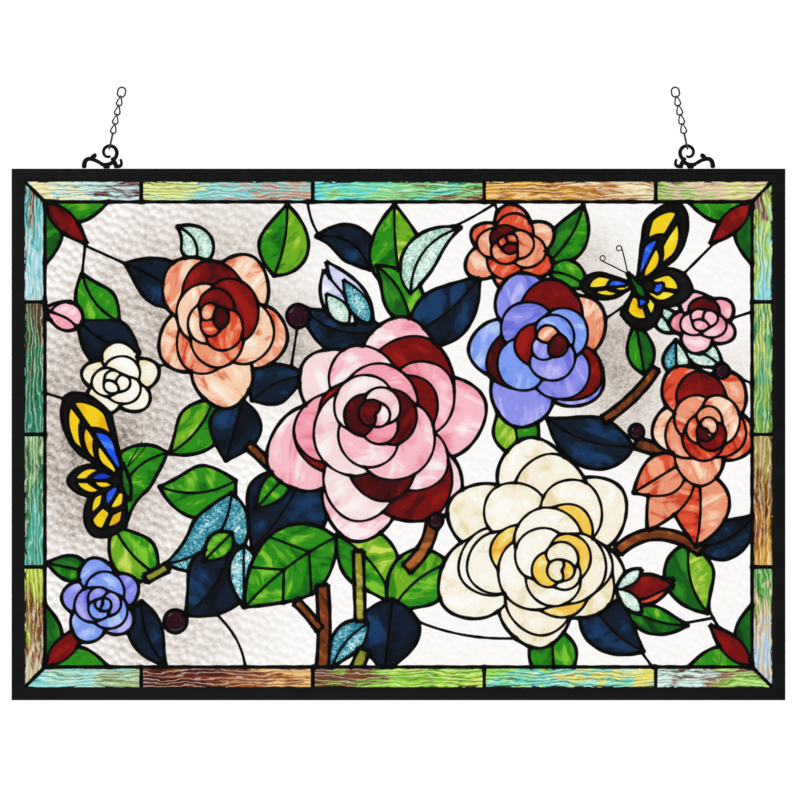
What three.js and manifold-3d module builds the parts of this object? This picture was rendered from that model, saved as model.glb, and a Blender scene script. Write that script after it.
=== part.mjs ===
// A stained glass hanging panel: pieces of coloured glass in copper foil and solder, drawn as roses, leaves and
// butterflies, inside a border of streaky glass and a black metal channel frame, hung on two short chains.
// Millimetres. X runs along the panel, Z up, and the front faces -Y. The origin is midway between the two points
// where the chains' end links bear on their nails.

import * as THREE from 'three'
import { mergeVertices } from 'three/addons/utils/BufferGeometryUtils.js'
import Module from 'manifold-3d'

const wasm = await Module()
wasm.setup()

// The panel and its channel frame
const panelWidth = 813
const panelHeight = 559
const channelFace = 14
const channelWall = 1.6
const glassBite = 9
const rimWidth = 5

// Glass and solder
const glassThickness = 3
const solderProud = 1
const seamWidth = 4.2
const flowerSeamWidth = 3.2
const seamRunOn = 7
const borderGlassWidth = 21
const topBorderPieces = 5
const sideBorderPieces = 4
const cornerPieceShare = 0.62
const sideCornerPieceShare = 0.83
const clearPieces = 14
const solderFilledArea = 320
const jewelDome = 4
const jewelShoulder = 0.7

// Hooks and chains
const hookInset = 101.5
const hookThickness = 3
const hookBar = 3.8
const hookCurlHeight = 16.5
const hookCurlRadius = 7.2
const hookCurlStart = -62
const hookCurlTurn = 350
const chainRise = 85
const chainLean = 15
const chainWire = 1.4
const linksAboveFirst = 5
const firstLinkLength = 18
const firstLinkWidth = 7
const linkWidth = 7
const endLinkWidth = 8.6

// Clearances
const fitGap = 0.3
const weldOverlap = 0.25
const linkRest = 0.9

// How finely round outlines are stepped
const petalSteps = 5
const innerPetalSteps = 4
const leafSteps = 3
const ribSteps = 2
const stemSteps = 3
const roundSteps = 10
const linkSteps = 8
const curlSteps = 9
const finestPetal = 48
const roseHeart = 0.74

const solderThickness = glassThickness + 2 * solderProud
const slotWidth = solderThickness + 2 * fitGap
const channelDepth = slotWidth + 2 * channelWall
const panelTop = -chainRise
const panelMiddle = panelTop - panelHeight / 2
const openingWidth = panelWidth - 2 * channelFace
const openingHeight = panelHeight - 2 * channelFace
const fieldWidth = openingWidth - 2 * borderGlassWidth
const fieldHeight = openingHeight - 2 * borderGlassWidth
const halfSeam = seamWidth / 2
const halfFlowerSeam = flowerSeamWidth / 2
const tall = 2 * channelDepth

// The picture is drawn on a sheet with its middle at 0, 0, which is stretched over the field inside the border
const sheetWidth = 704
const sheetHeight = 463
const uScale = fieldWidth / sheetWidth
const vScale = fieldHeight / sheetHeight

const colours = {
  blackMetal: '#0c0d10',
  patina: '#17161a',
  chain: '#1a191d',
  border: '#a9b583',
  clear: '#dfe4e4',
  pink: '#f2a9b4',
  cream: '#f7ecc8',
  coral: '#ee9a78',
  scarlet: '#dd5a3c',
  red: '#d9402a',
  lilac: '#8b92e6',
  blue: '#6f7fe4',
  white: '#f4f0e2',
  ruby: '#86090c',
  opal: '#c9d6f0',
  green: '#2b8a1d',
  lime: '#74ac22',
  navy: '#0c2340',
  aqua: '#6fc3c8',
  yellow: '#f2cc18',
  jewel: '#2c0a1c'
}

// Solids

function solid(geometry) {
  geometry.deleteAttribute('normal')
  geometry.deleteAttribute('uv')
  const merged = mergeVertices(geometry, 1e-4)
  const vertProperties = new Float32Array(merged.getAttribute('position').array)
  const triVerts = new Uint32Array(merged.index.array)
  return new wasm.Manifold(new wasm.Mesh({ numProp: 3, vertProperties, triVerts }))
}

function geometryOf(manifold) {
  const mesh = manifold.getMesh()
  const geometry = new THREE.BufferGeometry()
  geometry.setAttribute('position', new THREE.BufferAttribute(new Float32Array(mesh.vertProperties), 3))
  geometry.setIndex(new THREE.BufferAttribute(new Uint32Array(mesh.triVerts), 1))
  const split = geometry.toNonIndexed()
  split.computeVertexNormals()
  return split
}

// A plate whose outline lies in the X, Z plane and whose faces lie at the two given depths
function slab(outline, front, back) {
  const shape = new THREE.Shape(outline)
  const geometry = new THREE.ExtrudeGeometry(shape, { depth: back - front, bevelEnabled: false })
  geometry.rotateX(Math.PI / 2)
  geometry.translate(0, back, 0)
  return solid(geometry)
}

const plate = (outline, thickness) => slab(outline, -thickness / 2, thickness / 2)
const join = (solids) => wasm.Manifold.union(solids)
const largestFirst = (manifold) => manifold.decompose().sort((a, b) => b.volume() - a.volume())

// A flat piece made larger all round, by copies of it laid a distance off in eight directions
function spread(flat, distance) {
  const reach = distance / Math.cos(Math.PI / 8)
  return join(Array.from({ length: 8 }, (_, i) => {
    return flat.translate([reach * Math.cos(i * Math.PI / 4), 0, reach * Math.sin(i * Math.PI / 4)])
  }))
}

// Outlines

function rectangle(width, height, middle = panelMiddle) {
  const x = width / 2
  const z = height / 2
  return [[-x, -z], [x, -z], [x, z], [-x, z]].map(([a, b]) => new THREE.Vector2(a, b + middle))
}

// Moves every side of an outline outwards by a distance, or inwards by a negative one. Sharp corners are blunted,
// and a side that would turn round is closed up to one point.
function grow(outline, distance) {
  const points = THREE.ShapeUtils.isClockWise(outline) ? [...outline].reverse() : [...outline]
  const count = points.length
  const side = (i) => points[(i + 1) % count].clone().sub(points[i % count]).normalize()
  const moved = points.map((point, i) => {
    const before = side(i + count - 1)
    const after = side(i)
    const out = new THREE.Vector2(before.y + after.y, -before.x - after.x)
    const corner = out.divideScalar(Math.max(1 + before.dot(after), 0.32))
    return point.clone().addScaledVector(corner, distance)
  })
  const kept = []
  for (let i = 0; i < count; i += 1) {
    const next = moved[(i + 1) % count]
    const turned = next.clone().sub(moved[i]).dot(side(i)) <= 0.2
    if (turned) {
      next.copy(next.clone().add(moved[i]).multiplyScalar(0.5))
    } else {
      kept.push(moved[i])
    }
  }
  return kept
}

// A strip of even width along a line of points
function ribbon(line, width) {
  const edge = (sign) => line.map((point, i) => {
    const ahead = line[Math.min(i + 1, line.length - 1)]
    const behind = line[Math.max(i - 1, 0)]
    const along = ahead.clone().sub(behind).normalize()
    return new THREE.Vector2(point.x - sign * along.y * width / 2, point.y + sign * along.x * width / 2)
  })
  return [...edge(1), ...edge(-1).reverse()]
}

// The smooth line that two, three or four guide points give
function curve(guides, steps) {
  const points = guides.map(([u, v]) => new THREE.Vector2(u, v))
  if (points.length === 2) {
    return points
  }
  const line = points.length === 3
    ? new THREE.QuadraticBezierCurve(...points)
    : new THREE.CubicBezierCurve(...points)
  return line.getPoints(steps)
}

// Figures of the picture, in sheet units. A drawing has the outlines that bound it, the outlines of its pieces,
// where a later one lies over an earlier one, and the lines of the solder inside a piece.

const drawing = (bounds, pieces = [], lines = []) => ({ bounds, pieces, lines })

function together(...drawings) {
  const all = (key) => drawings.flatMap((one) => one[key])
  return drawing(all('bounds'), all('pieces'), all('lines'))
}

// A petal from the flower's middle: it widens as a power of the cosine over its spread and has a slight tip
function petal(heading, reach, spread, tip, steps) {
  const outline = [new THREE.Vector2(0, 0)]
  for (let i = 1; i < steps; i += 1) {
    const share = Math.sin((2 * i / steps - 1) * Math.PI / 2)
    const swell = Math.cos(share * Math.PI / 2) ** 0.34
    const r = reach * swell * (1 + tip * Math.exp(-((share / 0.3) ** 2)))
    const angle = THREE.MathUtils.degToRad(heading + spread * share + 10 * r / reach)
    outline.push(new THREE.Vector2(r * Math.cos(angle), r * Math.sin(angle)))
  }
  return outline
}

// Rings of petals from the outside in. A ring is its number of petals, their reach, how far they overlap, and how
// far the ring leans from the middle.
function rose([u, v], radius, turn, squash, rings) {
  const petals = rings.map(([count, reach, cover, lean = [0, 0]], ring) => {
    const even = [...Array(count).keys()].filter((i) => i % 2 === 0)
    const odd = [...Array(count).keys()].filter((i) => i % 2 === 1)
    return [...even, ...odd].map((i) => {
      const heading = turn + ring * 47 + i * 360 / count
      const size = reach * (1 + 0.07 * Math.sin(2.4 * i + 1.7 * ring))
      const tip = ring < 2 ? 0.06 : 0.04
      const steps = ring ? innerPetalSteps : petalSteps
      return petal(heading, size, cover * 180 / count, tip, steps).map((point) => new THREE.Vector2(
        u + radius * (point.x + lean[0]),
        v + radius * (point.y + lean[1]) * squash
      ))
    })
  })
  const broad = petals.filter((_, ring) => {
    const [, reach, cover] = rings[ring]
    return ring === 0 || (reach * radius > finestPetal && cover > 1)
  })
  const heart = round([0, 0], radius * roseHeart).bounds[0].map((point) => new THREE.Vector2(
    u + point.x,
    v + point.y * squash
  ))
  return drawing([...petals[0], heart], broad.flat())
}

// A leaf's rib from base to tip and its two margins: the rib bows to one side, and the width rises and falls along it
function leafLines(base, tip, width, bend) {
  const start = new THREE.Vector2(...base)
  const run = new THREE.Vector2(...tip).sub(start)
  const across = new THREE.Vector2(-run.y, run.x)
  const ribAt = (t) => start.clone().addScaledVector(run, t).addScaledVector(across, bend * 4 * t * (1 - t))
  const marginAt = (t, side) => {
    const half = side * width / 2 * Math.abs(Math.sin(Math.PI * t ** 0.8)) ** 0.9
    const along = run.clone().addScaledVector(across, bend * 4 * (1 - 2 * t)).normalize()
    return ribAt(t).add(new THREE.Vector2(-along.y * half, along.x * half))
  }
  const inside = Array.from({ length: leafSteps - 1 }, (_, i) => (i + 1) / leafSteps)
  return {
    rib: Array.from({ length: ribSteps + 1 }, (_, i) => ribAt(i / ribSteps)),
    left: inside.map((t) => marginAt(t, 1)),
    right: inside.map((t) => marginAt(t, -1))
  }
}

// Two halves that meet along the rib
function leaf(base, tip, width, bend = 0) {
  const { rib, left, right } = leafLines(base, tip, width, bend)
  const outline = [rib[0], ...left, rib[ribSteps], ...right.reverse()]
  return drawing([outline], [outline], [rib])
}

// A slim leaf or bud petal in one piece
function lens(base, tip, width, bend = 0) {
  const { rib, left, right } = leafLines(base, tip, width, bend)
  const outline = [rib[0], ...left, rib[ribSteps], ...right.reverse()]
  return drawing([outline], [outline])
}

function stem(guides, width) {
  return drawing([ribbon(curve(guides, stemSteps), width)])
}

function round([u, v], radius) {
  const outline = []
  for (let i = 0; i < roundSteps; i += 1) {
    const angle = i / roundSteps * 2 * Math.PI
    outline.push(new THREE.Vector2(u + radius * Math.cos(angle), v + radius * Math.sin(angle)))
  }
  return drawing([outline])
}

// A butterfly's wing fans out from the body, and its edge falls away on both sides of its peak. A cell is a part of
// the fan: from one share of the spread to another, between two shares of the reach.
function wing([u, v], heading, reach, spread, peak, cells) {
  const at = (share, part) => {
    const r = reach * (1 - 0.42 * Math.abs(share - peak) ** 1.5) * part
    const angle = THREE.MathUtils.degToRad(heading + spread * share)
    return new THREE.Vector2(u + r * Math.cos(angle), v + r * Math.sin(angle))
  }
  const margin = [new THREE.Vector2(u, v)]
  for (let i = 0; i < petalSteps; i += 1) {
    margin.push(at(2 * i / (petalSteps - 1) - 1, 1))
  }
  const panes = cells.map(([from, to, near, far]) => {
    return [at(from, near), at(to, near), at(to, far), at((from + to) / 2, far), at(from, far)]
  })
  return drawing([margin], [margin, ...panes])
}

// A corner ornament: two green half leaves along the border and a red one across the corner
function corner(a, b) {
  const from = (u, v) => [a * (sheetWidth / 2 - u), b * (sheetHeight / 2 - v)]
  return together(
    lens(from(4, 0), from(68, -6), 46),
    lens(from(0, 4), from(-6, 68), 40),
    lens(from(2, 2), from(42, 42), 20)
  )
}

// The picture, from its back to its front. A named figure is a solid of its own. One without a name is small, and
// is cast in one with the solder lines, its glass a hollow in their front.
const picture = [
  { drawing: corner(-1, 1) },
  { drawing: corner(1, 1) },
  { drawing: corner(-1, -1) },
  { drawing: corner(1, -1) },
  { name: 'leaf_navy_upper_left', colour: 'navy', drawing: leaf([-210, 131], [-272, 170], 46, -0.05) },
  { drawing: leaf([-278, 112], [-315, 160], 40, 0.12) },
  { drawing: leaf([-258, 82], [-318, 114], 50, 0.1) },
  { drawing: leaf([-204, 166], [-220, 207], 34, -0.25) },
  { name: 'leaf_green_upper_left', colour: 'green', drawing: leaf([-124, 158], [-111, 229], 50, -0.06) },
  { drawing: leaf([-146, 34], [-92, 58], 40, 0.1) },
  { drawing: leaf([-28, 164], [-82, 197], 36, -0.2) },
  { drawing: leaf([-14, 104], [-96, 126], 46, 0.15) },
  { name: 'leaf_green_top', colour: 'green', drawing: leaf([4, 140], [-4, 229], 54, 0.03) },
  { drawing: leaf([12, 106], [-22, 168], 40, -0.12) },
  { drawing: leaf([12, 140], [62, 206], 34, 0.18) },
  { name: 'leaf_navy_top', colour: 'navy', drawing: leaf([8, 98], [80, 158], 54, -0.08) },
  { drawing: leaf([150, 172], [184, 228], 36, -0.08) },
  { drawing: leaf([150, 162], [188, 146], 30, 0.1) },
  { drawing: leaf([245, 60], [236, 112], 27) },
  { drawing: leaf([276, 102], [254, 128], 24) },
  { drawing: leaf([277, 58], [276, 94], 28) },
  { drawing: leaf([284, 86], [322, 66], 28, 0.1) },
  { name: 'leaf_navy_right', colour: 'navy', drawing: leaf([234, -12], [148, 16], 52, 0.1) },
  { name: 'leaf_lime_middle', colour: 'lime', drawing: leaf([118, -24], [104, 38], 46, -0.08) },
  { name: 'leaf_lime_left', colour: 'lime', drawing: leaf([-184, 36], [-228, -19], 46, 0.1) },
  { name: 'leaf_green_left', colour: 'green', drawing: leaf([-162, -46], [-238, -52], 54, 0.12) },
  { name: 'leaf_green_far_left', colour: 'green', drawing: leaf([-230, -18], [-272, -92], 46, -0.25) },
  { drawing: leaf([-240, -140], [-284, -90], 46, 0.08) },
  { name: 'leaf_aqua_left', colour: 'aqua', drawing: leaf([-166, -58], [-232, -129], 56, 0.2) },
  { drawing: leaf([-155, 34], [-172, -26], 52) },
  { name: 'leaf_navy_middle', colour: 'navy', drawing: leaf([-94, -34], [-146, -114], 84, 0.06) },
  { drawing: leaf([-108, -36], [-142, -74], 26) },
  { name: 'leaf_navy_lower_left', colour: 'navy', drawing: leaf([-166, -106], [-212, -180], 64, 0.1) },
  { drawing: leaf([-166, -98], [-194, -126], 26) },
  { drawing: leaf([-154, -110], [-154, -172], 30) },
  { name: 'leaf_green_low', colour: 'green', drawing: leaf([-62, -102], [-153, -172], 72, -0.05) },
  { drawing: leaf([-62, -100], [-4, -170], 56, 0.1) },
  { name: 'leaf_lime_low', colour: 'lime', drawing: leaf([50, -128], [-8, -178], 58, -0.1) },
  { drawing: leaf([-6, -164], [-14, -236], 62) },
  { drawing: leaf([-30, -188], [-66, -232], 30, -0.1) },
  { drawing: leaf([152, -192], [156, -256], 48) },
  { drawing: leaf([190, -160], [244, -216], 50, -0.1) },
  { name: 'leaf_green_lower_right', colour: 'green', drawing: leaf([290, -108], [308, -178], 50, -0.12) },
  { drawing: leaf([228, -172], [288, -190], 28, -0.08) },
  { drawing: leaf([298, -112], [354, -80], 38, -0.12) },
  { drawing: leaf([-308, -137], [-350, -128], 26) },
  { drawing: leaf([-256, -166], [-232, -230], 34, -0.1) },
  { solid: true, drawing: stem([[-76, -150], [-72, -196], [-76, -234]], 12) },
  { solid: true, drawing: stem([[-102, -166], [-90, -178], [-78, -194]], 8) },
  { solid: true, drawing: stem([[-40, -116], [-38, -186]], 10) },
  { solid: true, drawing: stem([[8, -134], [36, -110], [34, -76]], 12) },
  { solid: true, drawing: stem([[218, -116], [255, -82], [302, -116]], 11) },
  { solid: true, drawing: stem([[236, -8], [260, -18], [304, -20]], 12) },
  { solid: true, drawing: stem([[204, 14], [240, 38], [256, 66]], 9) },
  { solid: true, drawing: stem([[-150, -10], [-118, -40]], 9) },
  { solid: true, drawing: stem([[-252, -144], [-230, -132]], 9) },
  { solid: true, drawing: stem([[198, -158], [226, -154]], 8) },
  { solid: true, drawing: stem([[-42, -234], [-34, -214]], 12) },
  {
    name: 'rose_red',
    colour: 'red',
    drawing: rose([112, 184], 46, 20, 0.9, [
      [6, 1, 1.4], [4, 0.74, 1.4, [-0.03, 0.06]], [3, 0.5, 1.45, [-0.04, 0.12]], [3, 0.26, 1.4, [-0.06, 0.16]]
    ])
  },
  {
    name: 'rose_lilac',
    colour: 'lilac',
    drawing: rose([140, 84], 72, 25, 1, [
      [5, 1, 1.35], [3, 0.86, 0.9, [0.08, 0.02]], [4, 0.72, 1.4, [0.06, 0.02]], [3, 0.46, 1.45, [0.1, 0.06]],
      [3, 0.26, 1.4, [0.14, 0.1]]
    ])
  },
  {
    name: 'rose_coral',
    colour: 'coral',
    drawing: rose([-178, 108], 66, 50, 1.13, [
      [5, 1, 1.4], [3, 0.78, 1.1, [0, 0.02]], [3, 0.62, 1.45, [-0.05, 0.06]], [3, 0.43, 1.45, [-0.08, 0.08]],
      [3, 0.24, 1.4, [-0.1, 0.1]]
    ])
  },
  {
    name: 'rose_white',
    colour: 'white',
    drawing: rose([-278, 54], 40, 10, 0.88, [
      [5, 1, 1.4], [3, 0.66, 1.45, [-0.05, -0.03]], [3, 0.36, 1.45, [-0.1, -0.06]]
    ])
  },
  {
    name: 'bud_pink',
    colour: 'pink',
    drawing: together(
      lens([-318, 112], [-352, 126], 30),
      lens([-316, 108], [-350, 116], 28, -0.2),
      lens([-320, 106], [-350, 124], 13, 0.1)
    )
  },
  {
    name: 'rose_blush',
    colour: 'pink',
    drawing: rose([303, 112], 35, 30, 0.84, [
      [5, 1, 1.4], [3, 0.7, 1.3, [0, 0.06]], [3, 0.42, 1.4, [0, 0.08]]
    ])
  },
  {
    name: 'rose_scarlet',
    colour: 'scarlet',
    drawing: together(
      leaf([298, -36], [296, -112], 58, 0.05),
      lens([290, -22], [248, -96], 40),
      leaf([286, -26], [234, -58], 42),
      rose([303, 12], 53, 40, 1.08, [
        [5, 1, 1.4], [3, 0.8, 1.1], [3, 0.62, 1.45, [0.04, -0.06]], [3, 0.4, 1.45, [0.06, -0.1]],
        [2, 0.22, 1.4, [0.08, -0.12]]
      ])
    )
  },
  {
    name: 'rose_pink',
    colour: 'pink',
    drawing: rose([-19, 2], 104, 5, 1.03, [
      [6, 1, 1.4], [3, 0.86, 0.9, [0.04, 0]], [5, 0.8, 1.3, [-0.02, 0.03]], [3, 0.63, 0.9, [0, 0.05]],
      [3, 0.58, 1.45, [-0.03, 0.08]], [3, 0.42, 1.45, [-0.04, 0.12]], [3, 0.28, 1.45, [-0.04, 0.15]],
      [2, 0.15, 1.4, [-0.04, 0.17]]
    ])
  },
  {
    name: 'rose_cream',
    colour: 'cream',
    drawing: rose([136, -111], 98, 22, 1, [
      [6, 1, 1.4], [3, 0.86, 0.8, [0.04, -0.02]], [5, 0.78, 1.3, [0.06, -0.05]], [3, 0.6, 0.9, [0.12, -0.1]],
      [3, 0.55, 1.45, [0.16, -0.14]], [3, 0.4, 1.45, [0.2, -0.18]], [3, 0.26, 1.45, [0.24, -0.22]],
      [2, 0.14, 1.4, [0.27, -0.25]]
    ])
  },
  {
    name: 'rose_blue',
    colour: 'blue',
    drawing: rose([-297, -166], 40, 18, 1, [
      [5, 1, 1.4], [3, 0.7, 1.45, [0.03, -0.03]], [3, 0.44, 1.45, [0.05, -0.06]], [2, 0.22, 1.4, [0.06, -0.08]]
    ])
  },
  {
    name: 'bud_ruby',
    colour: 'ruby',
    drawing: together(
      lens([222, -156], [274, -144], 28, -0.1),
      lens([224, -164], [274, -152], 24, 0.15),
      lens([242, -178], [216, -152], 16),
      lens([242, -134], [216, -154], 14)
    )
  },
  {
    name: 'bud_opal',
    colour: 'opal',
    drawing: together(
      lens([-26, 112], [-72, 172], 26),
      lens([-42, 110], [-74, 164], 24, 0.12),
      lens([-28, 110], [-55, 154], 20),
      lens([-50, 110], [-72, 140], 20)
    )
  },
  { name: 'jewel_upper', colour: 'jewel', domed: true, drawing: round([-100, 118], 12) },
  { name: 'jewel_lower', colour: 'jewel', domed: true, drawing: round([-222, -186], 12) },
  { solid: true, drawing: round([37, -86], 8) },
  { solid: true, drawing: round([237, 3], 8) },
  { solid: true, drawing: round([322, 63], 8) },
  {
    name: 'butterfly_right',
    colour: 'yellow',
    drawing: together(
      wing([237, 149], -68, 46, 50, -0.2, [[-0.85, -0.1, 0.3, 0.78], [0.05, 0.8, 0.3, 0.78]]),
      wing([237, 149], -8, 56, 36, 0.1, [[-0.85, -0.1, 0.34, 0.76], [0, 0.75, 0.34, 0.76]]),
      wing([237, 149], 186, 56, 25, -0.2, [
        [-0.8, 0.8, 0.14, 0.46], [-0.8, -0.05, 0.54, 0.86], [0.1, 0.8, 0.54, 0.84]
      ]),
      wing([237, 149], 58, 92, 25, 0.15, [
        [-0.8, 0.8, 0.16, 0.44], [-0.75, -0.05, 0.5, 0.84], [0.05, 0.75, 0.5, 0.88]
      ]),
      lens([247, 134], [228, 161], 9)
    )
  },
  {
    name: 'butterfly_left',
    colour: 'yellow',
    drawing: together(
      wing([-272, -46], 236, 64, 36, 0.1, [
        [-0.8, 0, 0.2, 0.5], [0.1, 0.8, 0.2, 0.5], [-0.8, 0, 0.58, 0.84], [0.1, 0.8, 0.58, 0.84]
      ]),
      wing([-272, -46], 180, 58, 28, 0, [[-0.8, -0.05, 0.3, 0.82], [0.05, 0.8, 0.3, 0.82]]),
      wing([-272, -46], 126, 104, 24, -0.1, [
        [-0.8, 0, 0.14, 0.46], [0.1, 0.8, 0.14, 0.46], [-0.8, -0.05, 0.53, 0.87], [0.05, 0.8, 0.53, 0.87]
      ]),
      lens([-268, -66], [-275, -28], 9)
    )
  }
]

// Thin solder lines that part the clear glass between the figures and the border. Each runs on a little under the
// figure or border at its ends.
const clearSeams = [
  [[-312, 188], [-272, 170]],
  [[-312, 188], [-315, 160]],
  [[-221, 232], [-220, 206]],
  [[-91, 232], [-88, 206], [-75, 194]],
  [[28, 196], [62, 208], [90, 226]],
  [[94, 232], [100, 218]],
  [[311, 187], [288, 164]],
  [[355, 124], [333, 116]],
  [[324, 63], [355, 48]],
  [[-355, 43], [-328, 34]],
  [[-318, -104], [-316, -126]],
  [[-240, 78], [-205, 92]],
  [[-240, 68], [-212, 72]],
  [[-222, 62], [-228, 34]],
  [[14, -184], [68, -208], [130, -202]],
  [[240, -214], [254, -234]],
  [[284, -188], [306, -184]],
  [[310, -176], [318, -196], [336, -208]],
  [[-152, -234], [-154, -206], [-178, -182]],
  [[-112, 34], [-104, 84], [-100, 112]],
  [[-88, 126], [-120, 134]],
  [[-100, 118], [-122, 112]],
  [[200, 112], [215, 120], [232, 134]],
  [[60, -66], [72, -84], [76, -92]],
  [[-130, -110], [-134, -60]]
]

// A figure's outlines on the panel, moved in or out by a distance
const onPanel = (point) => new THREE.Vector2(point.x * uScale, point.y * vScale + panelMiddle)
const cutters = (outlines, distance) => outlines.map((outline) => plate(grow(outline.map(onPanel), distance), tall))
const inField = (distance) => plate(rectangle(fieldWidth + 2 * distance, fieldHeight + 2 * distance), tall)

// The solder between two petals or leaf halves. Each piece's outline, from the back to the front, lays down its own
// line and clears what lies inside it.
function raisedSeams({ pieces, lines }) {
  const front = -glassThickness / 2 - solderProud
  const ribs = lines.map((line) => slab(ribbon(line.map(onPanel), flowerSeamWidth), front, 0))
  if (pieces.length === 1) {
    return join(ribs)
  }
  let seams = null
  for (const outline of pieces) {
    const line = slab(grow(outline.map(onPanel), halfFlowerSeam), front, 0)
    const inside = plate(grow(outline.map(onPanel), -halfFlowerSeam), tall)
    seams = (seams ? seams.add(line) : line).subtract(inside)
  }
  return join([seams, ...ribs])
}

const group = new THREE.Group()

function addNode(name, colour, manifold, roughness, metalness) {
  const material = new THREE.MeshStandardMaterial({ color: colours[colour], roughness, metalness })
  const mesh = new THREE.Mesh(geometryOf(manifold), material)
  mesh.name = name
  group.add(mesh)
}

const addGlass = (name, colour, manifold) => addNode(name, colour, manifold, 0.15, 0)

// The channel frame: four mitred lengths, each with a slot that takes the edge of the panel
function channel(width, height) {
  const x = width / 2
  const z = height / 2
  const end = fitGap / Math.SQRT2
  const inner = x - channelFace - end
  const face = [[-x + end, z], [x - end, z], [inner, z - channelFace], [-inner, z - channelFace]]
  const slot = rectangle(2 * width, 2 * channelFace, z - channelWall - channelFace)
  const bar = plate(face.map(([a, b]) => new THREE.Vector2(a, b)), channelDepth)
  return bar.subtract(plate(slot, slotWidth))
}

function frame() {
  const along = channel(panelWidth, panelHeight)
  const upright = channel(panelHeight, panelWidth)
  const place = (manifold, turn) => manifold.rotate([0, turn, 0]).translate([0, 0, panelMiddle])
  addNode('frame_top', 'blackMetal', place(along, 0), 0.45, 0.8)
  addNode('frame_bottom', 'blackMetal', place(along, 180), 0.45, 0.8)
  addNode('frame_left', 'blackMetal', place(upright, -90), 0.45, 0.8)
  addNode('frame_right', 'blackMetal', place(upright, 90), 0.45, 0.8)
}

// One side of the border, before it is turned and placed: its outline from mitre to mitre, and the lines where its
// pieces meet
const borderReach = glassBite - rimWidth / 2

function borderOutline(fieldSide, fieldAcross) {
  const inner = fieldSide / 2
  const outer = inner + borderGlassWidth + borderReach
  const low = fieldAcross / 2
  const high = low + borderGlassWidth + borderReach
  return [[-inner, low], [inner, low], [outer, high], [-outer, high]].map(([a, b]) => new THREE.Vector2(a, b))
}

function borderJoints(fieldSide, pieces, cornerShare) {
  const length = (fieldSide + borderGlassWidth) / (pieces - 2 + 2 * cornerShare)
  return Array.from({ length: pieces - 1 }, (_, i) => (i - (pieces - 2) / 2) * length)
}

const borderSides = [
  ['border_top', fieldWidth, fieldHeight, topBorderPieces, cornerPieceShare, 0],
  ['border_bottom', fieldWidth, fieldHeight, topBorderPieces, cornerPieceShare, 180],
  ['border_left', fieldHeight, fieldWidth, sideBorderPieces, sideCornerPieceShare, -90],
  ['border_right', fieldHeight, fieldWidth, sideBorderPieces, sideCornerPieceShare, 90]
].map(([name, side, across, pieces, cornerShare, turn]) => {
  const outline = borderOutline(side, across)
  const place = (manifold) => manifold.rotate([0, turn, 0]).translate([0, 0, panelMiddle])
  const glass = plate(grow(outline, -halfSeam), glassThickness)
  const front = -glassThickness / 2 - solderProud
  const bars = borderJoints(side, pieces, cornerShare).map((x) => {
    const reach = borderGlassWidth + borderReach - 2 * halfSeam
    const bar = rectangle(seamWidth, reach, across / 2 + halfSeam + reach / 2)
    return slab(bar.map((point) => new THREE.Vector2(point.x + x, point.y)), front, 0)
  })
  return {
    name,
    strip: place(join([glass, ...bars])),
    opening: place(plate(grow(outline, fitGap - halfSeam), tall))
  }
})

// The rim inside the channel, the mitre lines and the line round the picture
const rimOutline = rectangle(openingWidth + 2 * glassBite, openingHeight + 2 * glassBite)
let web = plate(rimOutline, tall).subtract(join([inField(-halfSeam), ...borderSides.map((side) => side.opening)]))
borderSides.forEach((side) => addGlass(side.name, 'border', side.strip))

// The solder over the picture: every figure's outline grown by half a seam, and the lines between clear pieces
const bounds = picture.flatMap((figure) => figure.drawing.bounds)
const seamRibbons = clearSeams.map((guides) => {
  const line = curve(guides, stemSteps)
  const last = line.length - 1
  const past = (from, to) => to.clone().add(to.clone().sub(from).setLength(seamRunOn))
  return ribbon([past(line[1], line[0]), ...line.slice(1, last), past(line[last - 1], line[last])], flowerSeamWidth)
})
const drawn = join([
  ...cutters(bounds, halfSeam),
  ...cutters(seamRibbons, 0)
])
const drawnWide = join([
  ...cutters(bounds, halfSeam + fitGap),
  ...cutters(seamRibbons, fitGap)
])
web = web.add(inField(0).intersect(drawn))

// Clear glass fills the rest. The largest pieces are solids of their own. The others are cast in with the solder as
// thin glass where nothing else shares their gap, and are filled with solder where they are small or lie beside one
// of the largest.
const clearSheet = plate(rectangle(fieldWidth, fieldHeight), glassThickness)
const rest = inField(weldOverlap - halfSeam).subtract(join([
  ...cutters(bounds, halfSeam - weldOverlap),
  ...cutters(seamRibbons, -weldOverlap)
]))
const clearGlass = clearSheet.intersect(inField(-halfSeam - fitGap)).subtract(drawnWide)
const clearAreas = largestFirst(clearGlass)
const ownAreas = clearAreas.slice(0, clearPieces)
ownAreas.forEach((area, i) => addGlass(`clear_glass_${i + 1}`, 'clear', area))
const touches = (a, b) => a.intersect(b).volume() > 1
const backing = slab(rectangle(fieldWidth, fieldHeight), -glassThickness / 2, solderThickness / 2)
const thinGlass = []
for (const piece of largestFirst(rest)) {
  const own = ownAreas.filter((area) => touches(area, piece))
  const others = clearAreas.slice(clearPieces).filter((area) => touches(area, piece))
  if (own.length === 0 && piece.volume() > solderFilledArea * tall) {
    thinGlass.push(piece.intersect(backing))
  } else if (own.length === 0) {
    web = web.add(piece)
  } else if (others.length > 0) {
    const beside = join(others.map((area) => spread(area, fitGap + weldOverlap)))
    const clearOfOwn = beside.subtract(join(own.map((area) => spread(area, fitGap))))
    web = web.add(clearOfOwn)
  }
}

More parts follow.
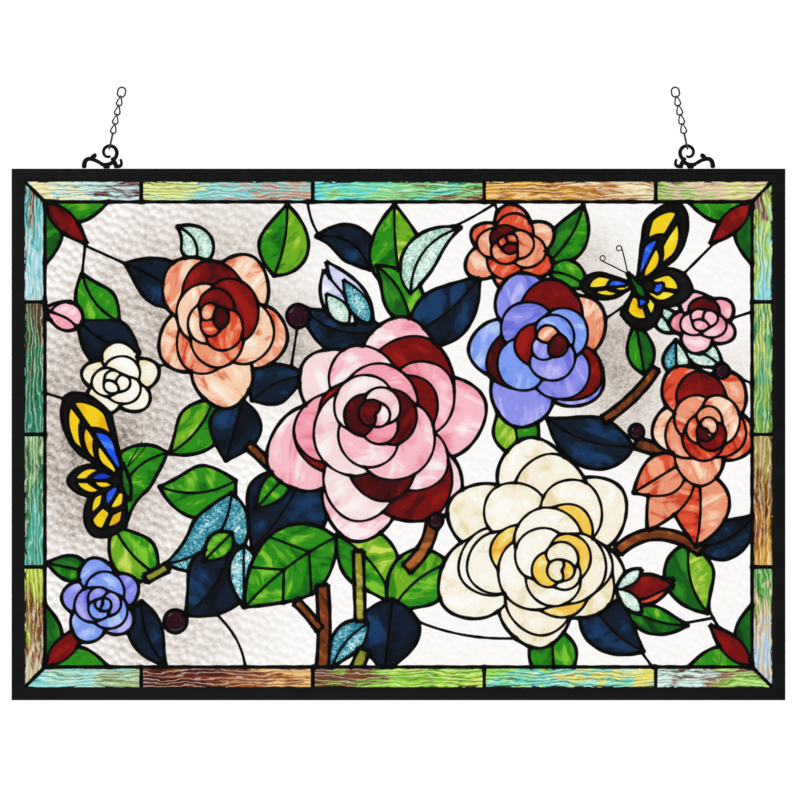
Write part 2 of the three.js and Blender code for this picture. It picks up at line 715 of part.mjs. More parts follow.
// Figures, from the front of the picture to its back, each cut by what lies over it
let over = null
let overNarrow = null
const hollows = []
for (const figure of [...picture].reverse()) {
  const { name, colour, domed } = figure
  const { bounds } = figure.drawing
  const region = join(cutters(bounds, -halfSeam)).intersect(inField(-halfSeam))
  const clipped = over ? region.subtract(over) : region
  if (name) {
    const body = plate(rectangle(fieldWidth, fieldHeight), glassThickness)
    const whole = (domed ? body : body.add(raisedSeams(figure.drawing))).intersect(clipped)
    const [node] = largestFirst(whole)
    const wide = join(cutters(bounds, fitGap - halfSeam)).intersect(inField(fitGap - halfSeam))
    const openings = largestFirst(overNarrow ? wide.subtract(overNarrow) : wide)
    const opening = openings.find((piece) => touches(piece, node))
    web = web.subtract(opening)
    if (domed) {
      const box = node.boundingBox()
      const radius = Math.min(box.max[0] - box.min[0], box.max[2] - box.min[2]) / 2
      const face = glassThickness / 2
      const shoulder = face + jewelShoulder * (jewelDome - face)
      const profile = [[0, -face], [radius, -face], [radius, face], [radius * jewelShoulder, shoulder], [0, jewelDome]]
        .map(([r, h]) => new THREE.Vector2(r, h))
      const dome = solid(new THREE.LatheGeometry(profile, roundSteps)).rotate([180, 90, 0])
      const middle = [(box.max[0] + box.min[0]) / 2, 0, (box.max[2] + box.min[2]) / 2]
      addGlass(name, colour, dome.translate(middle))
    } else {
      addGlass(name, colour, node)
    }
  } else if (!figure.solid) {
    hollows.push(clipped.intersect(slab(rectangle(fieldWidth, fieldHeight), -solderThickness, -glassThickness / 2)))
  }
  const outer = join(cutters(bounds, halfSeam))
  const outerNarrow = join(cutters(bounds, halfSeam - fitGap))
  over = over ? over.add(outer) : outer
  overNarrow = overNarrow ? overNarrow.add(outerNarrow) : outerNarrow
}
const solder = join([plate(rimOutline, solderThickness).intersect(web), ...thinGlass]).subtract(join(hollows))
addNode('solder_lines', 'patina', largestFirst(solder)[0], 0.5, 0.6)
frame()

// A cast scroll hook: a curl that the chain passes through, a bowed bar with a knob, and a small curl beside it.
// It is drawn for the left end, with its foot on the frame at height 0.
function hookOutlines() {
  const curl = []
  for (let i = 0; i <= curlSteps; i += 1) {
    const share = i / curlSteps
    const angle = THREE.MathUtils.degToRad(hookCurlStart + hookCurlTurn * share)
    const r = hookCurlRadius * (1.12 - 0.62 * share ** 2.2)
    curl.push(new THREE.Vector2(1 + r * Math.cos(angle), hookCurlHeight + r * Math.sin(angle)))
  }
  const line = (...guides) => ribbon(curve(guides, stemSteps), hookBar)
  return [
    ribbon(curl, hookBar),
    line([4, 11], [7.5, 5], [8.5, 0.1]),
    line([-25.5, 0.1], [-26, 15], [-15, 10.5], [-6, 4]),
    line([-7.5, 4.6], [0, 2.5], [4, 6], [6.5, 8.5]),
    line([-17.5, 9], [-18, 13.5], [-13, 13.8]),
    line([7, 3], [13, 0.5], [15.5, 4.5], [12.5, 9.8]),
    rectangle(7, 4.6, 2.4).map((point) => new THREE.Vector2(point.x - 2, point.y))
  ]
}

// A link lies along +X before it is placed: a ring whose two halves are drawn apart
function link(length, width) {
  const radius = width / 2
  const geometry = new THREE.TorusGeometry(radius, chainWire / 2, 4, linkSteps)
  geometry.rotateZ(Math.PI / linkSteps)
  const position = geometry.getAttribute('position')
  const stretch = (length - width) / 2
  for (let i = 0; i < position.count; i += 1) {
    position.setX(i, position.getX(i) + Math.sign(position.getX(i)) * stretch)
  }
  return geometry
}

function placedLink(length, width, middle, direction, turn) {
  const geometry = link(length, width)
  const flat = new THREE.Matrix4().makeRotationX(Math.PI / 2 + turn)
  const aim = new THREE.Matrix4().makeRotationFromQuaternion(
    new THREE.Quaternion().setFromUnitVectors(new THREE.Vector3(1, 0, 0), direction)
  )
  geometry.applyMatrix4(flat).applyMatrix4(aim).translate(middle.x, middle.y, middle.z)
  return solid(geometry)
}

function hanger(name, side) {
  const hookX = side * (panelWidth / 2 - hookInset)
  const raise = panelTop + fitGap
  const plates = hookOutlines().map((outline) => {
    const placed = outline.map((point) => new THREE.Vector2(hookX - side * point.x, point.y + raise))
    return plate(placed, hookThickness)
  })
  const aboveFrame = plate(rectangle(2 * panelWidth, chainRise, raise + chainRise / 2), tall)
  addNode(`hook_${name}`, 'blackMetal', join(plates).intersect(aboveFrame), 0.5, 0.8)

  const curlTop = hookCurlHeight + hookCurlRadius - hookBar / 2
  const low = new THREE.Vector3(hookX - side, 0, raise + curlTop - linkRest - chainWire / 2)
  const high = new THREE.Vector3(hookX - side * chainLean, 0, chainWire / 2)
  const direction = high.clone().sub(low).normalize()
  const total = high.distanceTo(low)
  const bite = chainWire - weldOverlap
  const endBite = chainWire + fitGap
  const taken = (linksAboveFirst - 1) * bite + endBite
  const linkLength = (total - firstLinkLength + taken) / linksAboveFirst
  const links = []
  let start = 0
  let length = firstLinkLength
  let width = firstLinkWidth
  for (let i = 0; i <= linksAboveFirst; i += 1) {
    const middle = low.clone().addScaledVector(direction, start + length / 2)
    const turn = (linksAboveFirst - i) % 2 === 0 ? 0 : Math.PI / 2
    links.push(placedLink(length, width, middle, direction, turn))
    start += length - (i + 1 === linksAboveFirst ? endBite : bite)
    length = linkLength
    width = i + 1 === linksAboveFirst ? endLinkWidth : linkWidth
  }
  const [endLink] = links.splice(-1)
  const [chain] = largestFirst(join(links))
  addNode(`chain_${name}`, 'chain', chain, 0.4, 0.9)
  addNode(`end_link_${name}`, 'chain', endLink, 0.4, 0.9)
}

hanger('left', -1)
hanger('right', 1)

export default group
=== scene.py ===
"""A stained glass hanging panel: roses, leaves and butterflies in copper foil and solder, in a black channel
frame on two chains. Metres, X along the panel, Z up, and the front faces -Y."""

import math

import bpy
import numpy as np
from mathutils.geometry import delaunay_2d_cdt
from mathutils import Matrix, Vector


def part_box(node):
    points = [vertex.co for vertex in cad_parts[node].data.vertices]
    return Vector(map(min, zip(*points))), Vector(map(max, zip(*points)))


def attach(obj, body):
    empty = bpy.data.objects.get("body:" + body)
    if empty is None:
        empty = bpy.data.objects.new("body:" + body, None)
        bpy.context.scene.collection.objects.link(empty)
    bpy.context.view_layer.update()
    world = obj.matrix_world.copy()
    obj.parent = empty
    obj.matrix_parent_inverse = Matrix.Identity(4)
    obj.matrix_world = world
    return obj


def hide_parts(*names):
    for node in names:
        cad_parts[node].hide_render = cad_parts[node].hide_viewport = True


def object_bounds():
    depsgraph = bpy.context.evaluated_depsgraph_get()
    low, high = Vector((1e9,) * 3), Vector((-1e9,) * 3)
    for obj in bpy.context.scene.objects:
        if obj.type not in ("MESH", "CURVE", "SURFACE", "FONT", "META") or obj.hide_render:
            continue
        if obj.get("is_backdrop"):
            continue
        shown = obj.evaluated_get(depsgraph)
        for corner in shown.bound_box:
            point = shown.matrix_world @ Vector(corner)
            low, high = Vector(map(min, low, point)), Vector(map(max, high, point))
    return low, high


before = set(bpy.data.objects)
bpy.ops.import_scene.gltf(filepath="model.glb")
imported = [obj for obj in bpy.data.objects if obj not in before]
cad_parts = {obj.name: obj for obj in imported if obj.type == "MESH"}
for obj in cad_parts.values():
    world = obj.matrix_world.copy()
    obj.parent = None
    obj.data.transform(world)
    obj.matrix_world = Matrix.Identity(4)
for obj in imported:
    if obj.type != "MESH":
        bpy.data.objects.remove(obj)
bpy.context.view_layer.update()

# The pattern sheet
# The full-size paper drawing that every piece of glass is cut to. It is laid inside the channel frame, and
# has the picture's field in its middle and the border strip round it. Lengths on it are in millimetres from
# its middle.
mm = 0.001
frame_low, frame_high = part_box("frame_left")[0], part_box("frame_right")[1]
panel_width = (frame_high.x - frame_low.x) / mm
panel_height = (frame_high.z - frame_low.z) / mm
panel_middle = (frame_high.z + frame_low.z) / 2
channel_face = (frame_high.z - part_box("frame_top")[0].z) / mm
border_width = 21
field_width = panel_width - 2 * (channel_face + border_width)
field_height = panel_height - 2 * (channel_face + border_width)
drawing_scale = np.array([field_width / 704, field_height / 463])
pattern = []
clear_seams = []


def lay(piece, tone, outline):
    """Draws one outline on the sheet, over those before it, for the glass of one tone in one named piece."""
    pattern.append((piece, tone, np.asarray(outline, float)))


def on_sheet(points):
    """Drawing units, from the middle of the picture, become millimetres: each axis is stretched to fill the
    field."""
    return np.asarray(points, float) * drawing_scale


def smooth_line(guides, steps):
    """A Bezier curve through two, three or four guide points: neighbours are blended in pairs until one is
    left."""
    share = np.linspace(0, 1, steps)[:, None]
    rows = [np.repeat([np.asarray(guide, float)], steps, 0) for guide in guides]
    while len(rows) > 1:
        rows = [a + (b - a) * share for a, b in zip(rows, rows[1:])]
    return rows[0]


def strip(line, width):
    """The outline of a strip of even width: the line moved half the width to its left, and back on its
    right."""
    along = np.gradient(line, axis=0)
    across = np.stack([-along[:, 1], along[:, 0]], 1) / np.hypot(*along.T)[:, None]
    return np.concatenate([line + across * width / 2, (line - across * width / 2)[::-1]])


def linear(colour):
    """An sRGB hex colour as linear red, green, blue and alpha."""
    channels = [int(colour[i:i + 2], 16) / 255 for i in (1, 3, 5)]
    return [c / 12.92 if c <= 0.04045 else ((c + 0.055) / 1.055) ** 2.4 for c in channels] + [1.0]


def node(material, kind, inputs=None, stops=None, **settings):
    """Adds one node: settings go on the node, stops on its colour ramp, and inputs are values or linked
    sockets."""
    made = material.node_tree.nodes.new(kind)
    for name, value in settings.items():
        setattr(made, name, value)
    for name, value in (inputs or {}).items():
        if isinstance(value, bpy.types.NodeSocket):
            material.node_tree.links.new(value, made.inputs[name])
        else:
            made.inputs[name].default_value = value
    for i, (place, colour) in enumerate(stops or []):
        ramp = made.color_ramp.elements
        stop = ramp[i] if i < 2 else ramp.new(place)
        stop.position, stop.color = place, colour
    return made


def surface(name, values):
    """A new material with its shader's own values set."""
    material = bpy.data.materials.new(name)
    material.use_nodes = True
    shader = material.node_tree.nodes["Principled BSDF"]
    for key, value in values.items():
        shader.inputs[key].default_value = value
    return material, shader


def join_to(material, shader, **sockets):
    """Links colour, roughness or normal outputs to the shader's sockets of those names."""
    for name, socket in sockets.items():
        material.node_tree.links.new(socket, shader.inputs[name.replace("_", " ")])


glasses = {}

# Clear glass
# Colourless sheet, about 3 mm thick, behind the flowers. On the left it was rolled with a hammered pattern of
# small dimples, and on the right it has only faint marks of the roller. Thin solder lines part it where a cut
# had to end.
glass_thickness = 3.0
dimple_size = 8.5
seam_run_on = 8.0


def clear_glass(name, grain, bump):
    """Clear rolled soda-lime glass. It is fully see-through where it faces the light, and painted grey where
    the roller's dimples and scratches would turn the light aside and show the darker room: "tone" says how
    much painted shade greys that part of the sheet, and "relief" has the slope of the dimples, for a painted
    highlight on one side and painted shade on the other. grain is the size of the fine marks in mm."""
    material, shader = surface(name, {"Transmission Weight": 1.0, "Roughness": 0.03, "IOR": 1.52})
    sheet = node(material, "ShaderNodeUVMap", uv_map="sheet").outputs["UV"]
    scratches = node(material, "ShaderNodeTexNoise",
                     {"Vector": sheet, "Scale": 1 / (grain * mm), "Detail": 6.0,
                      "Roughness": 0.75, "Distortion": 1.2}).outputs["Fac"]
    clouds = node(material, "ShaderNodeTexNoise",
                  {"Vector": sheet, "Scale": 1 / (28 * mm), "Detail": 3.0}).outputs["Fac"]
    tone = node(material, "ShaderNodeAttribute", attribute_name="tone").outputs["Fac"]
    relief = node(material, "ShaderNodeAttribute", attribute_name="relief").outputs["Fac"]
    # Painted shade: the grey from tone takes light from the colour. It varies in slow patches and grows
    # stronger or weaker along the fine scratch marks. The dimples' slope in relief adds a painted highlight
    # on one side and painted shade on the other. The ramp runs from grey-brown painted shade to white.
    marks = node(material, "ShaderNodeMapRange", {"Value": scratches, "From Min": 0.42, "From Max": 0.62,
                                                  "To Min": 0.25, "To Max": -0.55}).outputs["Result"]
    patches = node(material, "ShaderNodeMapRange", {"Value": clouds, "From Min": 0.38, "From Max": 0.6,
                                                    "To Min": 0.75, "To Max": 1.05}).outputs["Result"]
    grey = node(material, "ShaderNodeMath", {0: tone, 1: patches}, operation="MULTIPLY").outputs[0]
    scratched_shade = node(material, "ShaderNodeMath", {0: marks, 1: grey}, operation="MULTIPLY").outputs[0]
    light = node(material, "ShaderNodeMath", {0: 1.0, 1: grey}, operation="SUBTRACT").outputs[0]
    light = node(material, "ShaderNodeMath", {0: light, 1: scratched_shade}, operation="ADD").outputs[0]
    light = node(material, "ShaderNodeMath", {0: light, 1: relief}, operation="ADD").outputs[0]
    colour = node(material, "ShaderNodeValToRGB", {"Fac": light},
                  stops=[(0.0, linear("#6E645C")), (0.45, linear("#BFB3A9")), (0.75, linear("#E4DDD7")),
                         (1.0, linear("#FCFCFB"))])
    fine = node(material, "ShaderNodeTexNoise", {"Vector": sheet, "Scale": 1 / (2.5 * mm), "Detail": 3.0})
    ripple = node(material, "ShaderNodeBump",
                  {"Height": fine.outputs["Fac"], "Strength": bump, "Distance": 0.4 * mm})
    join_to(material, shader, Base_Color=colour.outputs["Color"], Normal=ripple.outputs["Normal"])
    glasses[name] = material


def painted_greyness(points):
    """How grey the clear glass is painted at each point, as painted shade for the darker room seen through
    it:
    bell-shaped patches, each (place, reach in mm, strength)."""
    total = np.full(len(points), 0.04)
    for place, reach, strength in [
        ((-318, 30), 95, 0.5), ((-250, 150), 90, 0.32), ((-318, -60), 70, 0.4), ((-112, 90), 48, 0.45),
        ((-250, -190), 90, 0.28), ((222, 84), 52, 0.55), ((196, 178), 36, 0.3), ((250, 20), 40, 0.3),
        ((-165, 190), 60, 0.2), ((340, 60), 40, 0.15),
    ]:
        total += strength * np.exp(-((points - place) ** 2).sum(1) / reach ** 2)
    return np.minimum(total, 0.75)


clear_glass("hammered", 5, 0.25)
clear_glass("seedy", 4, 0.12)
lay("clear_glass", "clear", np.array([[-1, -1], [1, -1], [1, 1], [-1, 1]]) * [field_width / 2,
                                                                              field_height / 2])
for guides in [
    [(-312, 188), (-272, 170)], [(-312, 188), (-315, 160)], [(-221, 235), (-220, 206)],
    [(-91, 235), (-88, 206), (-75, 194)], [(28, 196), (62, 208), (90, 226)], [(94, 235), (100, 218)],
    [(311, 187), (288, 164)], [(358, 124), (333, 116)], [(324, 63), (358, 48)], [(-358, 43), (-328, 34)],
    [(-318, -104), (-316, -126)], [(-240, 78), (-205, 92)], [(-240, 68), (-212, 72)],
    [(-222, 62), (-228, 34)],
    [(14, -184), (68, -208), (130, -202)], [(240, -214), (256, -236)], [(284, -188), (306, -184)],
    [(310, -176), (318, -196), (336, -208)], [(-152, -236), (-154, -206), (-178, -182)],
    [(-112, 34), (-104, 84), (-100, 112)], [(-88, 126), (-120, 134)], [(200, 112), (215, 120), (232, 134)],
    [(60, -66), (72, -84), (76, -92)], [(-130, -110), (-134, -60)],
]:
    line = on_sheet(smooth_line(guides, 10))
    ends = [line[0] - line[1], line[-1] - line[-2]]
    ends = [end / np.hypot(*end) * seam_run_on for end in ends]
    clear_seams.append(np.concatenate([[line[0] + ends[0]], line, [line[-1] + ends[1]]]))

# Leaves
# Streaky green, dark blue and granite-textured aqua glass. A leaf is two pieces that meet along the rib, and
# a slim one is a single piece. The corner ornaments are two half leaves along the border and a red one across
# the corner.
leaf_steps = 16


def opalescent(name, light, body, dark, streak=11, stretch=0.4, clear=0.94, rough=0.2, bump=0.18):
    """Machine-rolled opalescent glass: two or three colours stirred together, so that streaks and clouds of
    light and dark run through it. It lets most light through but scatters it. streak is the streaks' width in
    mm."""
    material, shader = surface(name, {"Transmission Weight": clear, "Roughness": rough, "IOR": 1.52})
    sheet = node(material, "ShaderNodeUVMap", uv_map="sheet").outputs["UV"]
    flow = node(material, "ShaderNodeMapping", {"Vector": sheet, "Scale": (1, stretch, 1)}).outputs["Vector"]
    stir = node(material, "ShaderNodeTexNoise",
                {"Vector": flow, "Scale": 1 / (2 * streak * mm), "Detail": 4.0,
                 "Roughness": 0.55, "Distortion": 0.9})
    # tone is each piece's own random lightness, plus painted shade that darkens it towards its edges.
    tone = node(material, "ShaderNodeAttribute", attribute_name="tone").outputs["Fac"]
    shade = node(material, "ShaderNodeMath", {0: stir.outputs["Fac"], 1: tone}, operation="ADD")
    colour = node(material, "ShaderNodeValToRGB", {"Fac": shade.outputs[0]},
                  stops=[(0.36, linear(dark)), (0.47, linear(body)), (0.55, linear(body)),
                         (0.68, linear(light))])
    waves = node(material, "ShaderNodeTexNoise", {"Vector": sheet, "Scale": 1 / (7 * mm), "Detail": 2.0})
    ripple = node(material, "ShaderNodeBump",
                  {"Height": waves.outputs["Fac"], "Strength": bump, "Distance": 1 * mm})
    join_to(material, shader, Base_Color=colour.outputs["Color"], Normal=ripple.outputs["Normal"])
    glasses[name] = material


def granite_glass(name, light, body, dark):
    """Granite-backed cathedral glass: a fine crinkled texture of 3 mm grains, shown in its colour by painted
    light beside painted shade in each grain, up to painted white glints."""
    material, shader = surface(name, {"Transmission Weight": 0.95, "Roughness": 0.12, "IOR": 1.52})
    sheet = node(material, "ShaderNodeUVMap", uv_map="sheet").outputs["UV"]
    grain = node(material, "ShaderNodeTexNoise", {"Vector": sheet, "Scale": 1 / (4 * mm), "Detail": 4.0,
                                                  "Roughness": 0.75, "Distortion": 1.6})
    # tone is each piece's own random lightness, plus painted shade that darkens it towards its edges.
    tone = node(material, "ShaderNodeAttribute", attribute_name="tone").outputs["Fac"]
    shade = node(material, "ShaderNodeMath", {0: grain.outputs["Fac"], 1: tone}, operation="ADD")
    colour = node(material, "ShaderNodeValToRGB", {"Fac": shade.outputs[0]},
                  stops=[(0.46, linear(dark)), (0.54, linear(body)), (0.63, linear(light)),
                         (0.72, linear("#FFFFFF"))])
    crinkle = node(material, "ShaderNodeBump",
                   {"Height": grain.outputs["Fac"], "Strength": 0.6, "Distance": 1 * mm})
    join_to(material, shader, Base_Color=colour.outputs["Color"], Normal=crinkle.outputs["Normal"])
    glasses[name] = material


opalescent("green", "#7CC82E", "#289012", "#0D660F", streak=8)
opalescent("lime", "#C9E05A", "#6FB31C", "#2F8A12", streak=8)
opalescent("deepgreen", "#2F8A1E", "#0D5E12", "#063A0C", streak=8)
opalescent("navy", "#123A64", "#06182C", "#030A16", streak=16, clear=0.95, rough=0.2)
opalescent("ruby", "#9C140C", "#740908", "#440405", streak=14, clear=0.95, rough=0.15)
opalescent("darkruby", "#6A0A08", "#450506", "#2A0203", streak=14, clear=0.95, rough=0.15)
granite_glass("aqua", "#CDEFF2", "#5AB6C2", "#1A6C88")
granite_glass("mint", "#E6F8EE", "#BCE3D2", "#6FA892")


def leaf_margins(base, tip, width, bend):
    """A leaf's rib and its two margins. The rib bows from a straight run by a parabola, and half the width is
    the sine of the share along the leaf, raised to 0.9, so that it is broadest a little before its middle."""
    base, tip = np.array(base, float), np.array(tip, float)
    share = np.linspace(0, 1, leaf_steps)[:, None]
    run = tip - base
    across = np.array([-run[1], run[0]])
    rib = base + run * share + across * bend * 4 * share * (1 - share)
    along = run + across * bend * 4 * (1 - 2 * share)
    normal = np.stack([-along[:, 1], along[:, 0]], 1) / np.hypot(*along.T)[:, None]
    half = width / 2 * np.abs(np.sin(np.pi * share ** 0.8)) ** 0.9
    return rib, rib + normal * half, rib - normal * half


def leaf(piece, base, tip, width, tones, bend=0.0):
    """Two half leaves, each between the rib and one margin."""
    rib, left, right = leaf_margins(base, tip, width, bend)
    tones = tones.split()
    lay(piece, tones[0], on_sheet(np.concatenate([rib, left[-2:0:-1]])))
    lay(piece, tones[-1], on_sheet(np.concatenate([rib, right[-2:0:-1]])))


def lens(piece, base, tip, width, tone, bend=0.0):
    """A slim leaf or bud petal in one piece, between its two margins."""
    rib, left, right = leaf_margins(base, tip, width, bend)
    lay(piece, tone, on_sheet(np.concatenate([left, right[-2:0:-1]])))


def veined_leaf(piece, base, tip, width, tone, bend, veins):
    """A large leaf with its halves cut across again. Each vein leaves the rib at one of the leaf's steps, and
    meets the margin three steps further on."""
    rib, left, right = leaf_margins(base, tip, width, bend)
    last = leaf_steps - 1
    for margin in (left, right):
        for start, end in zip([0, *veins], [*veins, last]):
            outer = margin[start + 3 if start else 1:end + 4 if end < last else last]
            lay(piece, tone, on_sheet(np.concatenate([rib[start:end + 1], outer[::-1]])))


for side in (-1, 1):
    for end in (-1, 1):
        inward = np.array([-side, -end])
        corner = np.array([side * 352, end * 231.5])
        lens("corner_leaves", corner + inward * (4, 0), corner + inward * (68, -6), 46, "green")
        lens("corner_leaves", corner + inward * (0, 4), corner + inward * (-6, 68), 40, "deepgreen")
        lens("corner_leaves", corner + inward * (2, 2), corner + inward * (42, 42), 20, "ruby")
for piece, base, tip, width, bend, tones in [
    ("leaf_navy_upper_left", (-210, 131), (-272, 170), 46, -0.05, "navy"),
    ("small_leaves", (-278, 112), (-315, 160), 40, 0.12, "green"),
    ("small_leaves", (-258, 82), (-318, 114), 50, 0.1, "navy"),
    ("small_leaves", (-204, 166), (-220, 207), 34, -0.25, "mint"),
    ("leaf_green_upper_left", (-124, 158), (-111, 229), 50, -0.06, "green lime"),
    ("small_leaves", (-146, 34), (-92, 58), 40, 0.1, "navy"),
    ("small_leaves", (-28, 164), (-82, 197), 36, -0.2, "navy"),
    ("small_leaves", (-14, 104), (-96, 126), 46, 0.15, "navy"),
    ("leaf_green_top", (4, 140), (-4, 229), 54, 0.03, "green lime"),
    ("small_leaves", (12, 106), (-22, 168), 40, -0.12, "deepgreen green"),
    ("small_leaves", (12, 140), (62, 206), 34, 0.18, "mint"),
    ("leaf_navy_top", (8, 98), (80, 158), 54, -0.08, "navy"),
    ("small_leaves", (150, 172), (184, 228), 36, -0.08, "deepgreen green"),
    ("small_leaves", (150, 162), (188, 146), 30, 0.1, "green"),
    ("small_leaves", (245, 60), (236, 112), 27, 0.0, "green deepgreen"),
    ("small_leaves", (276, 102), (254, 128), 24, 0.0, "mint"),
    ("small_leaves", (277, 58), (276, 94), 28, 0.0, "aqua mint"),
    ("small_leaves", (284, 86), (322, 66), 28, 0.1, "mint"),
    ("leaf_navy_right", (234, -12), (148, 16), 52, 0.1, "navy"),
    ("leaf_lime_middle", (118, -24), (104, 38), 46, -0.08, "lime green"),
    ("leaf_lime_left", (-184, 36), (-228, -19), 46, 0.1, "green lime"),
    ("leaf_green_left", (-162, -46), (-238, -52), 54, 0.12, "green"),
    ("leaf_green_far_left", (-230, -18), (-272, -92), 46, -0.25, "green"),
    ("small_leaves", (-240, -140), (-284, -90), 46, 0.08, "lime green"),
    ("leaf_aqua_left", (-166, -58), (-232, -129), 56, 0.2, "aqua"),
    ("small_leaves", (-155, 34), (-172, -26), 52, 0.0, "navy"),
    ("leaf_navy_middle", (-94, -34), (-146, -114), 84, 0.06, "navy"),
    ("small_leaves", (-108, -36), (-142, -74), 26, 0.0, "green"),
    ("leaf_navy_lower_left", (-166, -106), (-212, -180), 64, 0.1, "navy"),
    ("small_leaves", (-166, -98), (-194, -126), 26, 0.0, "green"),
    ("small_leaves", (-154, -110), (-154, -172), 30, 0.0, "aqua"),
    ("small_leaves", (-62, -100), (-4, -170), 56, 0.1, "lime green"),
    ("leaf_lime_low", (50, -128), (-8, -178), 58, -0.1, "green lime"),
    ("small_leaves", (-6, -164), (-14, -236), 62, 0.0, "navy"),
    ("small_leaves", (-30, -188), (-66, -232), 30, -0.1, "aqua"),
    ("small_leaves", (152, -192), (156, -256), 48, 0.0, "green"),
    ("small_leaves", (190, -160), (244, -216), 50, -0.1, "navy"),
    ("leaf_green_lower_right", (290, -108), (308, -178), 50, -0.12, "lime deepgreen"),
    ("small_leaves", (228, -172), (288, -190), 28, -0.08, "green deepgreen"),
    ("small_leaves", (298, -112), (354, -80), 38, -0.12, "navy"),
    ("small_leaves", (-308, -137), (-350, -128), 26, 0.0, "green deepgreen"),
    ("small_leaves", (-256, -166), (-232, -230), 34, -0.1, "navy"),
]:
    leaf(piece, base, tip, width, tones, bend)
veined_leaf("leaf_green_low", (-62, -102), (-153, -172), 72, "green", -0.05, [4, 8])

# Stems
# Strips of brown and olive streaky glass, cut to follow the branches from leaf to flower.
opalescent("bark", "#B4692C", "#7C3A12", "#4A210C", streak=6, stretch=0.25)
opalescent("olive", "#BFC050", "#90902A", "#5E6018", streak=6)
for guides, width, tone in [
    ([(-76, -150), (-72, -196), (-76, -234)], 12, "bark"),
    ([(-102, -166), (-90, -178), (-78, -194)], 8, "bark"),
    ([(-40, -116), (-38, -186)], 10, "olive"),
    ([(8, -134), (36, -110), (34, -76)], 12, "bark"),
    ([(218, -116), (255, -82), (302, -116)], 11, "bark"),
    ([(236, -8), (260, -18), (304, -20)], 12, "bark"),
    ([(204, 14), (240, 38), (256, 66)], 9, "bark"),
    ([(-150, -10), (-118, -40)], 9, "bark"),
    ([(-252, -144), (-230, -132)], 9, "olive"),
    ([(198, -158), (226, -154)], 8, "olive"),
    ([(-42, -234), (-34, -214)], 12, "olive"),
]:
    lay("stems", tone, on_sheet(strip(smooth_line(guides, 12), width)))

# Roses
# Each bloom is rings of petals, cut from opalescent sheet and fitted round one another, with dark ruby pieces
# for the shade between them. A ring is its number of petals, their reach, how far they overlap, its lean and
# its glass.
petal_steps = 22
opalescent("pink", "#FFF1F3", "#FABFCA", "#F08FA2", streak=15)
opalescent("rosepink", "#FDD3DA", "#F7A4B4", "#E87C90", streak=14)
opalescent("blush", "#FFF6F4", "#FBDFE0", "#F4BCC4", streak=15)
opalescent("cream", "#FFFEF6", "#FBF3DE", "#F0DFAE", streak=12, stretch=0.9)
opalescent("ivory", "#FFFFFB", "#FDF8EA", "#F3E7C6", streak=12, stretch=0.9)
opalescent("amber", "#FDF0A8", "#FBD254", "#F2AE36", streak=8, clear=0.9)
opalescent("peach", "#FFF1DE", "#FAD2B2", "#E4764C", streak=7, stretch=0.3)
opalescent("coral", "#FCDCC0", "#F09A76", "#D24424", streak=7, stretch=0.3)
opalescent("red", "#F6A884", "#E24E2C", "#AC1A0C", streak=7, stretch=0.3)
opalescent("lilac", "#BDBBF6", "#8E92EE", "#6A70DC", streak=9, stretch=0.35)
opalescent("sky", "#B8CEFB", "#80A0F4", "#5A7AE6", streak=9, stretch=0.35)
opalescent("pale", "#F6F6FF", "#D6DAF8", "#A4B0EC", streak=8, stretch=0.3)


def petal(heading, reach, spread, tip):
    """A petal from the flower's middle, in polar form. Its radius is the reach times the cosine across its
    spread to the power 0.34, with a bell-shaped rise at its tip, and it twists by up to 10 degrees towards
    its edge."""
    share = np.sin((2 * np.arange(1, petal_steps) / petal_steps - 1) * np.pi / 2)
    radius = reach * np.cos(share * np.pi / 2) ** 0.34 * (1 + tip * np.exp(-((share / 0.3) ** 2)))
    angle = np.radians(heading + spread * share + 10 * radius / reach)
    return np.concatenate([[[0, 0]], np.stack([radius * np.cos(angle), radius * np.sin(angle)], 1)])


def rose(piece, middle, radius, turn, squash, rings):
    """Rings of petals from the outside in: every second petal first, and then those between them, so that
    these overlap their neighbours. Each ring is turned 47 degrees from the last."""
    for ring, (count, reach, cover, lean, tones) in enumerate(rings):
        tones = tones.split()
        for i in [*range(0, count, 2), *range(1, count, 2)]:
            heading = turn + ring * 47 + i * 360 / count
            size = reach * (1 + 0.07 * math.sin(2.4 * i + 1.7 * ring))
            shape = petal(heading, size, cover * 180 / count, 0.06 if ring < 2 else 0.04)
            outline = np.array(middle) + radius * (shape + lean) * (1, squash)
            lay(piece, tones[i % len(tones)], on_sheet(outline))


rose("rose_red", (112, 184), 46, 20, 0.9, [
    (6, 1, 1.4, (0, 0), "coral red red"), (4, 0.74, 1.4, (-0.03, 0.06), "red coral"),
    (3, 0.5, 1.45, (-0.04, 0.12), "darkruby red coral"), (3, 0.26, 1.4, (-0.06, 0.16), "red ruby coral")])
rose("rose_lilac", (140, 84), 72, 25, 1, [
    (5, 1, 1.35, (0, 0), "coral lilac sky lilac lilac"), (3, 0.86, 0.9, (0.08, 0.02), "ruby darkruby"),
    (4, 0.72, 1.4, (0.06, 0.02), "lilac sky"), (3, 0.46, 1.45, (0.1, 0.06), "ruby lilac sky"),
    (3, 0.26, 1.4, (0.14, 0.1), "lilac darkruby coral")])
rose("rose_coral", (-178, 108), 66, 50, 1.13, [
    (5, 1, 1.4, (0, 0), "peach coral peach"), (3, 0.78, 1.1, (0, 0.02), "ruby coral peach"),
    (3, 0.62, 1.45, (-0.05, 0.06), "peach coral ruby"), (3, 0.43, 1.45, (-0.08, 0.08), "peach red ruby"),
    (3, 0.24, 1.4, (-0.1, 0.1), "red darkruby coral")])
rose("rose_white", (-278, 54), 40, 10, 0.88, [
    (5, 1, 1.4, (0, 0), "cream"), (3, 0.66, 1.45, (-0.05, -0.03), "ivory cream"),
    (3, 0.36, 1.45, (-0.1, -0.06), "ivory")])
lens("bud_pink", (-318, 112), (-352, 126), 30, "rosepink")
